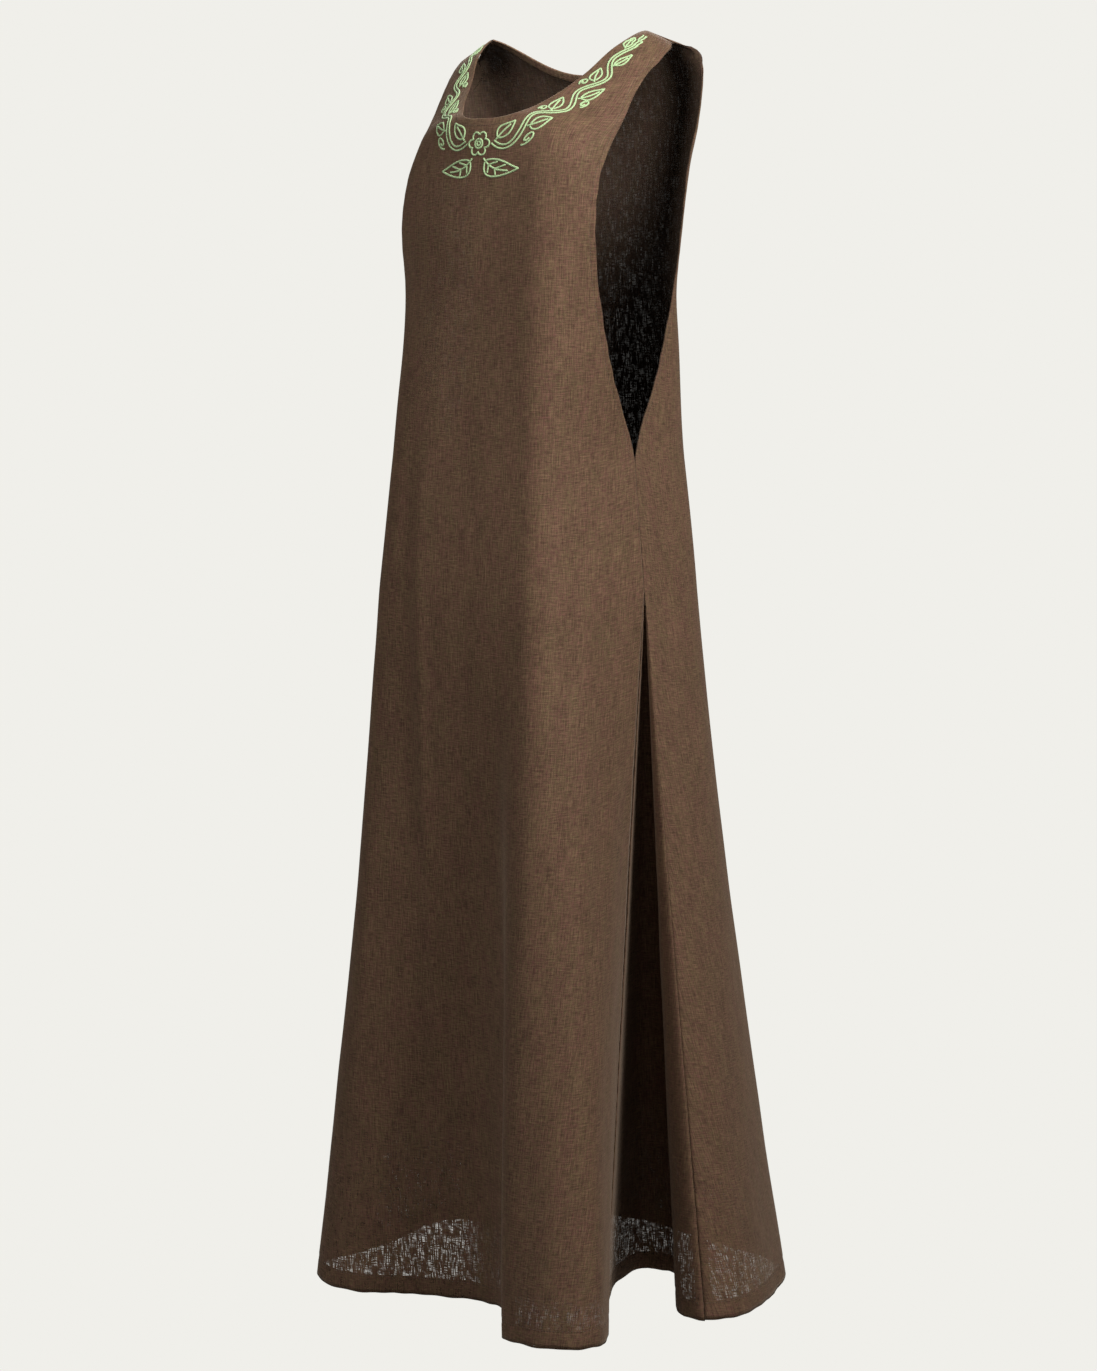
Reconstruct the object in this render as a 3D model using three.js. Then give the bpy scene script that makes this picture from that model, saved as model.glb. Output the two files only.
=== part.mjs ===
// An apron dress of brown linen, worn with nobody in it: a front panel, a back panel and a
// triangular gore let into each side seam. Millimetres, +Z up, the front faces -Y and the
// wearer's left is +X. The origin is midway between the two neck ends of the shoulder seams,
// at their height.

import * as THREE from 'three';

// Driving sizes
const WALL = 1.6;                  // thickness of a cloth wall
const SEAM_GAP = 0.3;              // space left between two pieces that are sewn together
const FLOORWARD = -1343;           // height of the hem where the skirt hangs straight down
const GORE_TOP = -575;             // height of the upper point of the gores
const GORE_START = 0.07;           // share of the gore's length where its cloth parts from the seam
const GORE_HEM_WIDTH = 340;        // a gore's cloth along its hem
const NECK_HALF = 105;             // half the neck opening, on the shoulder seams
const FRONT_NECK_DROP = 92;        // depth of the front neckline
const BACK_NECK_DROP = 40;         // depth of the back neckline
const SHOULDER_END = -13;          // height of the outer end of the shoulder seam
const FULL_SECTIONS = -200;        // from here down a section is level from side to side
const FACING_DEPTH = 9;            // the turned edge inside the back neck
const FACING_WALL = 1;

// Cloth colours
const OUTSIDE = { color: 0x4b382c, roughness: 0.9, metalness: 0 };
const TURNED_EDGE = { color: 0x59453a, roughness: 0.9, metalness: 0 };

// Half sections of the front, from its middle to the armhole or side seam. The middle is at
// (0, middleY, middleZ), the edge at (edgeX, edgeY, edgeZ), and square says how boxy the curve
// between them is: 1 is a straight line, 2 an ellipse, and more has a tighter corner. The left
// half is square by its own number, corner, and lean says how far that corner stands in from the
// edge: there the cloth breaks over the bust and falls away to the side.
const FRONT_SECTIONS = [
  { edgeZ: -13, middleZ: 15, middleY: -17, edgeX: 130, edgeY: 43, square: 1.0, corner: 1.0, lean: 0 },
  { edgeZ: -20, middleZ: -6, middleY: -22, edgeX: 140, edgeY: 28, square: 1.15, corner: 1.15, lean: 0 },
  { edgeZ: -34, middleZ: -20, middleY: -28, edgeX: 140, edgeY: 10, square: 1.3, corner: 1.3, lean: 0 },
  { edgeZ: -56, middleZ: -42, middleY: -40, edgeX: 134, edgeY: -12, square: 1.5, corner: 1.5, lean: 0 },
  { edgeZ: -98, middleZ: -78, middleY: -84, edgeX: 131, edgeY: -40, square: 1.5, corner: 1.7, lean: 0 },
  { edgeZ: -118, middleZ: -94, middleY: -104, edgeX: 130, edgeY: -54, square: 1.5, corner: 2.4, lean: 4 },
  { edgeZ: -150, middleZ: -143, middleY: -113, edgeX: 130, edgeY: -73, square: 1.5, corner: 4.2, lean: 18 },
  { edgeZ: -200, middleZ: -200, middleY: -119, edgeX: 131, edgeY: -82, square: 1.6, corner: 6.4, lean: 33 },
  { edgeZ: -262, middleZ: -262, middleY: -122, edgeX: 130, edgeY: -76, square: 1.7, corner: 7.4, lean: 36 },
  { edgeZ: -345, middleZ: -345, middleY: -125, edgeX: 130, edgeY: -55, square: 3.0, corner: 7.4, lean: 36 },
  { edgeZ: -442, middleZ: -442, middleY: -130, edgeX: 128, edgeY: -14, square: 6.0, corner: 7.2, lean: 32 },
  { edgeZ: -575, middleZ: -575, middleY: -138, edgeX: 138, edgeY: -10, square: 7.2, corner: 7.2, lean: 38 },
];

// The same for the back, which is wider across the shoulder blades.
const BACK_SECTIONS = [
  { edgeZ: -13, middleZ: 15, middleY: -17, edgeX: 130, edgeY: 43, square: 1.0 },
  { edgeZ: -21, middleZ: 2, middleY: 30, edgeX: 149, edgeY: 58, square: 1.3 },
  { edgeZ: -36, middleZ: -14, middleY: 60, edgeX: 157, edgeY: 59.5, square: 1.6 },
  { edgeZ: -60, middleZ: -42, middleY: 80, edgeX: 163, edgeY: 50.5, square: 1.8 },
  { edgeZ: -98, middleZ: -84, middleY: 92, edgeX: 158, edgeY: 48, square: 1.8 },
  { edgeZ: -140, middleZ: -134, middleY: 94, edgeX: 151, edgeY: 43, square: 1.7 },
  { edgeZ: -200, middleZ: -200, middleY: 90, edgeX: 144, edgeY: 42, square: 1.6 },
  { edgeZ: -262, middleZ: -262, middleY: 88, edgeX: 137, edgeY: 38, square: 1.8 },
  { edgeZ: -345, middleZ: -345, middleY: 92, edgeX: 130, edgeY: 22, square: 3.6 },
  { edgeZ: -442, middleZ: -442, middleY: 98, edgeX: 128, edgeY: -14, square: 5.5 },
  { edgeZ: -575, middleZ: -575, middleY: 110, edgeX: 138, edgeY: -10, square: 5.5 },
];

// The hem seen from above, a row for each ridge, valley and seam, in order round the dress.
// Across says which thread of the piece hangs there: -1 and 1 are its edges, 0 its middle.
// On a gore it runs from 0 to 1.
const FRONT_HEM = [
  { across: -1.0, x: -255, y: -12, note: 'right gore seam' },
  { across: -0.8, x: -253, y: -84 },
  { across: -0.64, x: -221, y: -125, note: 'right front ridge' },
  { across: -0.5, x: -176, y: -131 },
  { across: -0.36, x: -118, y: -103 },
  { across: -0.2, x: -67, y: -82 },
  { across: 0.0, x: -12, y: -76, note: 'hollow over the middle of the front' },
  { across: 0.18, x: 40, y: -104 },
  { across: 0.36, x: 80, y: -162 },
  { across: 0.5, x: 146, y: -166, note: 'left front ridge' },
  { across: 0.63, x: 177, y: -136 },
  { across: 0.8, x: 154, y: -88 },
  { across: 1.0, x: 98, y: -22, note: 'left gore seam, inside the fold' },
];
const LEFT_GORE_HEM = [
  { across: 0.11, x: 74, y: 12 },
  { across: 0.27, x: 45, y: 62 },
  { across: 0.42, x: 44, y: 106, note: 'bottom of the fold' },
  { across: 0.53, x: 78, y: 118 },
  { across: 0.66, x: 112, y: 86 },
  { across: 0.8, x: 140, y: 44 },
  { across: 0.9, x: 166, y: 23 },
];
const BACK_HEM = [
  { across: -1.0, x: 199, y: 18, note: 'left gore seam, on the back ridge' },
  { across: -0.86, x: 218, y: 46 },
  { across: -0.7, x: 213, y: 94 },
  { across: -0.55, x: 193, y: 148 },
  { across: -0.42, x: 160, y: 212, note: 'left back ridge' },
  { across: -0.28, x: 112, y: 238 },
  { across: -0.12, x: 44, y: 250, note: 'middle of the back' },
  { across: 0.1, x: -26, y: 262 },
  { across: 0.28, x: -82, y: 270 },
  { across: 0.45, x: -138, y: 262 },
  { across: 0.62, x: -188, y: 246, note: 'right back ridge' },
  { across: 0.8, x: -220, y: 216 },
  { across: 1.0, x: -208, y: 180, note: 'right gore seam' },
];
const RIGHT_GORE_HEM = [
  { across: 0.1, x: -176, y: 166 },
  { across: 0.2, x: -157, y: 148, note: 'bottom of the fold' },
  { across: 0.32, x: -178, y: 132 },
  { across: 0.47, x: -222, y: 138 },
  { across: 0.6, x: -256, y: 110 },
  { across: 0.8, x: -258, y: 48 },
];

// How far the border of a piece stands back from its seam line. Where two walls meet in a bend
// it is more than half the gap, so that their faces clear each other: at the shoulders, and
// most of all where the gores begin.
const PANEL_INSET = { top: 0.9, side: SEAM_GAP / 2 };
const goreInset = (down) => 0.9 + 1.6 * (1 - down) * (1 - down);

// Grid of each piece: columns across, rows down. The yoke's first rows lie closer together.
const FRONT_GRID = { columns: 40, yokeRows: 10, bodyRows: 9, skirtRows: 12 };
const BACK_GRID = { columns: 32, yokeRows: 10, bodyRows: 9, skirtRows: 12 };
const GORE_GRID = { columns: 18, rows: 12 };
const YOKE_CROWDING = 1.25;

const lerp = THREE.MathUtils.lerp;

// A value of a section table at a given edge height, along a smooth curve through the rows.
// Under the armholes it is a straight line, which front and back share at their seam.
function tableValue(rows, column, edgeZ) {
  const last = rows.length - 1;
  let low = 0;
  while (low < last - 1 && edgeZ < rows[low + 1].edgeZ) low += 1;
  const slope = (i) => {
    const before = rows[Math.max(i - 1, 0)];
    const after = rows[Math.min(i + 1, last)];
    return (after[column] - before[column]) / (after.edgeZ - before.edgeZ);
  };
  const a = rows[low];
  const b = rows[low + 1];
  const span = b.edgeZ - a.edgeZ;
  const t = THREE.MathUtils.clamp((edgeZ - a.edgeZ) / span, 0, 1);
  if (low === last - 1) return lerp(a[column], b[column], t);
  const t2 = t * t;
  const t3 = t2 * t;
  return (2 * t3 - 3 * t2 + 1) * a[column] + (t3 - 2 * t2 + t) * span * slope(low)
    + (3 * t2 - 2 * t3) * b[column] + (t3 - t2) * span * slope(low + 1);
}

// A point of a panel above the gores. Across runs from -1 to 1, from edge to edge.
function bodicePoint(rows, across, edgeZ) {
  const turn = Math.min(Math.abs(across), 1) * Math.PI / 2;
  const ownCorner = across > 0 && 'lean' in rows[0];
  const square = tableValue(rows, ownCorner ? 'corner' : 'square', edgeZ);
  const lean = ownCorner ? tableValue(rows, 'lean', edgeZ) : 0;
  const sine = Math.sin(turn);
  const cosine = Math.max(Math.cos(turn), 0);
  const reach = Math.pow(Math.pow(sine, square) + Math.pow(cosine, square), -1 / square);
  const out = reach * sine;
  const forward = reach * cosine;
  const middleY = tableValue(rows, 'middleY', edgeZ);
  const middleZ = tableValue(rows, 'middleZ', edgeZ);
  const edgeX = tableValue(rows, 'edgeX', edgeZ);
  const edgeY = tableValue(rows, 'edgeY', edgeZ);
  const x = Math.sign(across) * (edgeX * out - lean * (out + forward - 1));
  const y = edgeY + (middleY - edgeY) * forward;
  const z = middleZ + (edgeZ - middleZ) * Math.pow(out, 2.75);
  return new THREE.Vector3(x, y, z);
}

// The hem is one closed curve through the rows of the four pieces.
const HEM_ROWS = [
  ...FRONT_HEM.map((row) => ({ ...row, piece: 'front' })),
  ...LEFT_GORE_HEM.map((row) => ({ ...row, piece: 'left gore' })),
  ...BACK_HEM.map((row) => ({ ...row, piece: 'back' })),
  ...RIGHT_GORE_HEM.map((row) => ({ ...row, piece: 'right gore' })),
];
const HEM_CURVE = new THREE.CatmullRomCurve3(
  HEM_ROWS.map((row) => new THREE.Vector3(row.x, row.y, 0)), true, 'centripetal');

// A point of the hem curve, seen from above, for a thread of a piece. Gores borrow the edge
// threads of their neighbours.
function hemPoint(piece, across) {
  const first = HEM_ROWS.findIndex((row) => row.piece === piece);
  const stations = HEM_ROWS.filter((row) => row.piece === piece).map((row) => row.across);
  const isGore = piece.endsWith('gore');
  if (isGore) {
    stations.unshift(0);
    stations.push(1);
  }
  let low = 0;
  while (low < stations.length - 2 && across > stations[low + 1]) low += 1;
  const share = (across - stations[low]) / (stations[low + 1] - stations[low]);
  const index = first + low + share - (isGore ? 1 : 0);
  return HEM_CURVE.getPoint((index / HEM_ROWS.length) % 1);
}

// A point of the skirt on the straight thread from a point of the section at the gore's upper
// point to the hem. The further a thread slants, the higher its end hangs. Bow above 1 makes
// it leave the upright late.
function skirtPoint(top, hem, down, bow) {
  const slant = Math.hypot(hem.x - top.x, hem.y - top.y);
  const length = GORE_TOP - FLOORWARD;
  const endZ = FLOORWARD + slant * slant / (2 * length);
  const share = Math.pow(down, bow);
  return new THREE.Vector3(lerp(top.x, hem.x, share), lerp(top.y, hem.y, share),
    lerp(GORE_TOP, endZ, down));
}

// Threads at the seams and down the sides of the front part at once. Those over the middle of
// the front and down the back leave it slowly.
function threadBow(piece, across) {
  const out = Math.abs(across);
  if (piece === 'front') return 1.15 - 0.25 * Math.min(out / 0.45, 1);
  return 1.15 - 0.15 * Math.pow(out, 6);
}

// The height of the neckline at a distance from the middle.
function necklineHeight(x, drop, corner, fall) {
  const share = Math.min(Math.abs(x) / NECK_HALF, 1);
  return -drop * Math.pow(1 - Math.pow(share, corner), fall);
}

// The edge height at which a thread of a panel meets the neckline or the shoulder seam.
function threadTop(rows, across, neckline) {
  let above = SHOULDER_END;
  let below = FULL_SECTIONS;
  const overNeck = (edgeZ) => {
    const point = bodicePoint(rows, across, edgeZ);
    return Math.abs(point.x) < NECK_HALF && point.z > neckline(point.x);
  };
  if (!overNeck(above)) return above;
  for (let step = 0; step < 40; step += 1) {
    const middle = (above + below) / 2;
    if (overNeck(middle)) above = middle;
    else below = middle;
  }
  return below;
}

// Points of a panel, row by row from its top edge to the hem.
function panelGrid(piece, rows, mirror, grid, neckline) {
  const points = [];
  const total = grid.yokeRows + grid.bodyRows + grid.skirtRows;
  for (let row = 0; row <= total; row += 1) {
    points.push([]);
    for (let column = 0; column <= grid.columns; column += 1) {
      const across = -1 + 2 * column / grid.columns;
      points[row].push(panelPoint(piece, rows, mirror, across, row, grid, neckline));
    }
  }
  return points;
}

function panelPoint(piece, rows, mirror, across, row, grid, neckline) {
  const side = mirror ? -across : across;
  if (row <= grid.yokeRows) {
    const top = threadTop(rows, side, neckline);
    const share = Math.pow(row / grid.yokeRows, YOKE_CROWDING);
    return bodicePoint(rows, side, lerp(top, FULL_SECTIONS, share));
  }
  const bodyRow = row - grid.yokeRows;
  if (bodyRow <= grid.bodyRows) {
    return bodicePoint(rows, side, lerp(FULL_SECTIONS, GORE_TOP, bodyRow / grid.bodyRows));
  }
  const down = (bodyRow - grid.bodyRows) / grid.skirtRows;
  const top = bodicePoint(rows, side, GORE_TOP);
  return skirtPoint(top, hemPoint(piece, across), down, threadBow(piece, across));
}

// Points of a gore, row by row from its upper point to the hem.
function goreGrid(piece, side) {
  const points = [];
  const top = bodicePoint(FRONT_SECTIONS, side, GORE_TOP);
  for (let row = 0; row <= GORE_GRID.rows; row += 1) {
    points.push([]);
    const down = lerp(GORE_START, 1, row / GORE_GRID.rows);
    const margin = goreInset(down) / (GORE_HEM_WIDTH * down);
    for (let column = 0; column <= GORE_GRID.columns; column += 1) {
      const across = lerp(margin, 1 - margin, column / GORE_GRID.columns);
      points[row].push(skirtPoint(top, hemPoint(piece, across), down, threadBow(piece, 1)));
    }
  }
  return points;
}

// The turned edge inside the back neck: a narrow band on the panel's own points, between the
// two shoulder seams.
function facingGrid(panel) {
  const columns = panel[0].map((_, column) => column)
    .filter((column) => Math.abs(panel[0][column].x) < NECK_HALF - 4);
  const upper = columns.map((column) => panel[0][column].clone());
  const lower = columns.map((column) => {
    const stride = panel[1][column].clone().sub(panel[0][column]).normalize();
    return panel[0][column].clone().addScaledVector(stride, FACING_DEPTH);
  });
  return [upper, lower];
}

// Moves the top and side borders of a panel's grid in.
function insetGrid(points, inset) {
  const lastRow = points.length - 1;
  const lastColumn = points[0].length - 1;
  const pull = (point, neighbour, distance) => {
    const gap = point.distanceTo(neighbour);
    if (gap > 1e-6) point.lerp(neighbour, Math.min(distance / gap, 0.4));
  };
  for (let row = 0; row <= lastRow; row += 1) {
    pull(points[row][0], points[row][1], inset.side);
    pull(points[row][lastColumn], points[row][lastColumn - 1], inset.side);
  }
  for (let column = 0; column <= lastColumn; column += 1) {
    pull(points[0][column], points[1][column], inset.top);
  }
}

// The outward direction at each point of a grid.
function gridNormals(points) {
  const lastRow = points.length - 1;
  const lastColumn = points[0].length - 1;
  return points.map((line, row) => line.map((_, column) => {
    const up = points[Math.max(row - 1, 0)][column];
    const down = points[Math.min(row + 1, lastRow)][column];
    const left = points[row][Math.max(column - 1, 0)];
    const right = points[row][Math.min(column + 1, lastColumn)];
    return down.clone().sub(up).cross(right.clone().sub(left)).normalize();
  }));
}

// A closed cloth wall on a grid of points, its middle moved out by a distance.
function wallGeometry(points, thickness, moveOut) {
  const normals = gridNormals(points);
  const rows = points.length;
  const columns = points[0].length;
  const positions = [];
  for (const offset of [moveOut + thickness / 2, moveOut - thickness / 2]) {
    for (let row = 0; row < rows; row += 1) {
      for (let column = 0; column < columns; column += 1) {
        const place = points[row][column].clone().addScaledVector(normals[row][column], offset);
        positions.push(place.x, place.y, place.z);
      }
    }
  }
  const outer = (row, column) => row * columns + column;
  const inner = (row, column) => rows * columns + row * columns + column;
  const faces = [];
  const quad = (a, b, c, d) => faces.push(a, b, c, a, c, d);
  const turnedQuad = (a, b, c, d) => quad(b, c, d, a);
  for (let row = 0; row < rows - 1; row += 1) {
    for (let column = 0; column < columns - 1; column += 1) {
      const cut = column < (columns - 1) / 2 ? turnedQuad : quad;
      cut(outer(row, column), outer(row + 1, column), outer(row + 1, column + 1),
        outer(row, column + 1));
      cut(inner(row, column), inner(row, column + 1), inner(row + 1, column + 1),
        inner(row + 1, column));
    }
  }
  const end = columns - 1;
  const foot = rows - 1;
  for (let row = 0; row < foot; row += 1) {
    quad(outer(row, 0), inner(row, 0), inner(row + 1, 0), outer(row + 1, 0));
    quad(outer(row, end), outer(row + 1, end), inner(row + 1, end), inner(row, end));
  }
  for (let column = 0; column < end; column += 1) {
    quad(outer(0, column), outer(0, column + 1), inner(0, column + 1), inner(0, column));
    quad(outer(foot, column), inner(foot, column), inner(foot, column + 1),
      outer(foot, column + 1));
  }
  const geometry = new THREE.BufferGeometry();
  geometry.setAttribute('position', new THREE.Float32BufferAttribute(positions, 3));
  geometry.setIndex(faces);
  geometry.computeVertexNormals();
  return geometry;
}

function clothMesh(name, points, thickness, moveOut, finish) {
  const mesh = new THREE.Mesh(wallGeometry(points, thickness, moveOut),
    new THREE.MeshStandardMaterial(finish));
  mesh.name = name;
  return mesh;
}

const frontNeckline = (x) => necklineHeight(x, FRONT_NECK_DROP, 3.2, 1.45);
const backNeckline = (x) => necklineHeight(x, BACK_NECK_DROP, 2.6, 1.3);

function frontPanel() {
  const points = panelGrid('front', FRONT_SECTIONS, false, FRONT_GRID, frontNeckline);
  insetGrid(points, PANEL_INSET);
  return clothMesh('front_panel', points, WALL, 0, OUTSIDE);
}

function backPoints() {
  const points = panelGrid('back', BACK_SECTIONS, true, BACK_GRID, backNeckline);
  insetGrid(points, PANEL_INSET);
  return points;
}

function backPanel() {
  return clothMesh('back_panel', backPoints(), WALL, 0, OUTSIDE);
}

function gore(name, piece, side) {
  return clothMesh(name, goreGrid(piece, side), WALL, 0, OUTSIDE);
}

function backNeckFacing() {
  const points = facingGrid(backPoints());
  const moveOut = -(WALL / 2 + 2 * SEAM_GAP + FACING_WALL / 2);
  return clothMesh('back_neck_facing', points, FACING_WALL, moveOut, TURNED_EDGE);
}

const dress = new THREE.Group();
dress.add(frontPanel());
dress.add(backPanel());
dress.add(gore('left_gore', 'left gore', 1));
dress.add(gore('right_gore', 'right gore', -1));
dress.add(backNeckFacing());

export default dress;
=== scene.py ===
# %% [markdown]
# # An apron dress of brown linen
#
# This notebook dresses a fixed frame. The frame is a plain solid model of the dress, one solid
# for each piece that a maker cuts: a front, a back, a gore in each side seam and the turned edge
# of the back neck. Here those solids get the looks of real linen: the drape, the weave, the
# turned edges, the stitches and the embroidery. We load the frame first.

# %% Load the frame
import math

import bpy
import numpy as np
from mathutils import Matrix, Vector


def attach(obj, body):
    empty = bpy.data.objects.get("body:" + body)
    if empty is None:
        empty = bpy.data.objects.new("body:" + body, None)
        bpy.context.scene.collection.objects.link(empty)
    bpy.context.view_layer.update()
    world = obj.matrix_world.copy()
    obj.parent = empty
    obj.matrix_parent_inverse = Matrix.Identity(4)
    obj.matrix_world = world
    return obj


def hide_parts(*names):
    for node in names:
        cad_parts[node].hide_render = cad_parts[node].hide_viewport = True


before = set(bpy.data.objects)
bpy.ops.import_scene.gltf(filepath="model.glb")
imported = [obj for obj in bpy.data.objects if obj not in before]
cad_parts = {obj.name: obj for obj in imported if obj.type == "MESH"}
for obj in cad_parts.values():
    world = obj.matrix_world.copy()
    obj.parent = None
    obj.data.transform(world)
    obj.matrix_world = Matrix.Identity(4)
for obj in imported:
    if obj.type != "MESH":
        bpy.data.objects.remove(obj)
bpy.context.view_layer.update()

print("nodes:", sorted(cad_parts))


# %% [markdown]
# ## Camera
#
# The dress is seen from its left front, with the lens a little lower than the chest and tipped
# down. The distance and the lens are those at which the near and the far armhole, the neckline
# and the hem all have their right size beside each other. We could turn the camera by hand. It
# is surer to work its place out from an azimuth, a distance and a height.

# %% Camera
AZIMUTH = math.radians(40)         # 0 looks at the front, 90 at the wearer's left side
PITCH = math.radians(5.9)          # tipped down
DISTANCE = 3.9                     # from the upright axis of the dress, on the level
LENS_HEIGHT = -0.28
FOCAL_SHARE = 3700 / 1371          # focal length as a share of the picture's height


def add_camera():
    lens = bpy.data.cameras.new("camera")
    lens.sensor_width = 36
    lens.lens = FOCAL_SHARE * lens.sensor_width
    camera = bpy.data.objects.new("camera", lens)
    bpy.context.scene.collection.objects.link(camera)
    camera.location = (math.sin(AZIMUTH) * DISTANCE, -math.cos(AZIMUTH) * DISTANCE, LENS_HEIGHT)
    camera.rotation_euler = (math.pi / 2 - PITCH, 0, AZIMUTH)
    bpy.context.scene.camera = camera
    print("camera at", [round(c, 3) for c in camera.location], "lens", round(lens.lens, 1), "mm")


add_camera()


# %% [markdown]
# ## Studio
#
# A plain pale floor and a backdrop of the same colour surround the dress, so that nothing but
# linen draws the eye. The key light is a large soft one at the wearer's left, above the
# shoulder. It grazes the front, so that the folds show. A weaker fill from the front keeps the
# shade readable, and a third light stands behind, for whoever walks round the dress.

# %% Node helpers
def plug(tree, node, inputs):
    """Sets a node's inputs to values, or links them to sockets."""
    for name, value in inputs.items():
        if isinstance(value, bpy.types.NodeSocket):
            tree.links.new(value, node.inputs[name])
        else:
            node.inputs[name].default_value = value
    return node


def add_node(tree, kind, inputs=None, **settings):
    """A node with its settings made and its inputs plugged."""
    node = tree.nodes.new(kind)
    for name, value in settings.items():
        setattr(node, name, value)
    return plug(tree, node, inputs or {})


def new_material(name):
    """A material, its node tree and its main shader."""
    material = bpy.data.materials.new(name)
    material.use_nodes = True
    return material, material.node_tree, material.node_tree.nodes["Principled BSDF"]


# %% Backdrop
PALE = (0.871, 0.863, 0.823)       # the backdrop, in linear light
FLOOR_PAINT = (0.25, 0.247, 0.238)
FLOOR_HEIGHT = -1.45
FLOOR_RADIUS = 30
ROOM_LIGHT = 0.02                  # how much of the backdrop's brightness falls on the cloth


def paint_backdrop(tree, output, seen_kind, lit):
    """What the camera sees is one even colour. Every other ray meets a dimmer surface."""
    seen = add_node(tree, seen_kind, {"Color": (*PALE, 1), "Strength": 1.0})
    path = add_node(tree, "ShaderNodeLightPath")
    mix = add_node(tree, "ShaderNodeMixShader",
                   {0: path.outputs["Is Camera Ray"], 1: lit, 2: seen.outputs[0]})
    plug(tree, tree.nodes[output], {"Surface": mix.outputs[0]})


def add_world():
    world = bpy.data.worlds.new("studio")
    bpy.context.scene.world = world
    world.use_nodes = True
    tree = world.node_tree
    room = plug(tree, tree.nodes["Background"], {"Color": (*PALE, 1), "Strength": ROOM_LIGHT})
    paint_backdrop(tree, "World Output", "ShaderNodeBackground", room.outputs["Background"])


def add_floor():
    bpy.ops.object.select_all(action="DESELECT")
    bpy.ops.mesh.primitive_circle_add(vertices=96, radius=FLOOR_RADIUS, fill_type="NGON",
                                      location=(0, 0, FLOOR_HEIGHT))
    floor = bpy.context.object
    floor.name = "studio_floor"
    material, tree, paint = new_material("pale floor")
    plug(tree, paint, {"Base Color": (*FLOOR_PAINT, 1), "Roughness": 0.9})
    paint_backdrop(tree, "Material Output", "ShaderNodeEmission", paint.outputs["BSDF"])
    floor.data.materials.append(material)


add_world()
add_floor()
print("studio: floor at", FLOOR_HEIGHT, "m")

# %% Lights
WARM, SOFT = (1.0, 0.985, 0.97), (1.0, 0.99, 0.98)
# name, azimuth in degrees, height, distance and size in metres, watts, colour, height aimed at
LIGHTS = [
    ("key", 81, 1.0, 1.9, 0.8, 75, WARM, -0.3),
    ("fill", 0, 1.4, 2.4, 1.4, 45, SOFT, -0.5),
    ("back", 215, 1.2, 2.4, 1.4, 46, SOFT, -0.5),
]


def add_light(name, azimuth, height, distance, size, power, colour, aim):
    lamp = bpy.data.lights.new(name, "AREA")
    lamp.shape = "DISK"
    lamp.size = size
    lamp.energy = power
    lamp.color = colour
    light = bpy.data.objects.new(name, lamp)
    bpy.context.scene.collection.objects.link(light)
    turn = math.radians(azimuth)
    light.location = (math.sin(turn) * distance, -math.cos(turn) * distance, height)
    look = Vector((0, 0, aim)) - light.location
    light.rotation_euler = look.to_track_quat("-Z", "Y").to_euler()
    light.visible_camera = False
    print(name, "light of", power, "W")


for row in LIGHTS:
    add_light(*row)
bpy.context.scene.view_settings.view_transform = "Standard"


# %% [markdown]
# ## Linen
#
# Linen yarn is spun from long stiff fibres, so it is uneven: thick and thin stretches, called
# slubs, run along both directions of the weave, and where two yarns are thin a small gap lets
# the light through. All cloth pieces of the dress share one node group for this. It works on
# the flat cloth's own coordinates, in metres, which each wall carries as a UV map, so that the
# yarns follow the cloth round every fold. An image of the weave would be simpler, but it would
# repeat. Several noises, each stretched along its yarns, never do.

# %% Weave helpers
def calculate(tree, operation, first, second=0.0, third=0.0):
    node = add_node(tree, "ShaderNodeMath", {0: first, 1: second, 2: third},
                    operation=operation)
    return node.outputs[0]


def stretched_noise(tree, vector, across, along, shift, detail):
    """Noise with its own scale, per metre, across and along the cloth."""
    place = add_node(tree, "ShaderNodeMapping", {"Vector": vector, "Location": (shift, shift, 0),
                                                 "Scale": (across, along, 1)})
    noise = add_node(tree, "ShaderNodeTexNoise",
                     {"Vector": place.outputs[0], "Scale": 1.0, "Detail": detail,
                      "Roughness": 0.5}, noise_dimensions="2D")
    return noise.outputs["Fac"]


def step_up(tree, value, low, high):
    """0 under low, 1 over high, smooth in between."""
    node = add_node(tree, "ShaderNodeMapRange",
                    {"Value": value, "From Min": low, "From Max": high},
                    interpolation_type="SMOOTHSTEP")
    return node.outputs[0]


# %% Linen weave group
YARNS_PER_METRE = 1150
# What varies over the cloth: repeats per metre across and along it, a shift that keeps the
# patterns apart, and how much fine detail each has.
PATTERNS = {
    "warp": (YARNS_PER_METRE, 60, 3.1, 2.0),
    "weft": (90, YARNS_PER_METRE, 7.7, 2.0),
    "thick warp": (640, 26, 11.3, 2.0),
    "thick weft": (40, 640, 17.9, 2.0),
    "dye": (48, 17, 23.0, 4.0),
    "fleck": (520, 380, 61.3, 1.0),
    "batches": (70, 22, 67.7, 3.0),
    "yarn hue": (420, 300, 71.9, 1.0),
    "thin warp": (900, 70, 31.7, 1.0),
    "thin weft": (110, 900, 41.1, 1.0),
    "loose": (150, 80, 53.9, 2.0),
}


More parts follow.
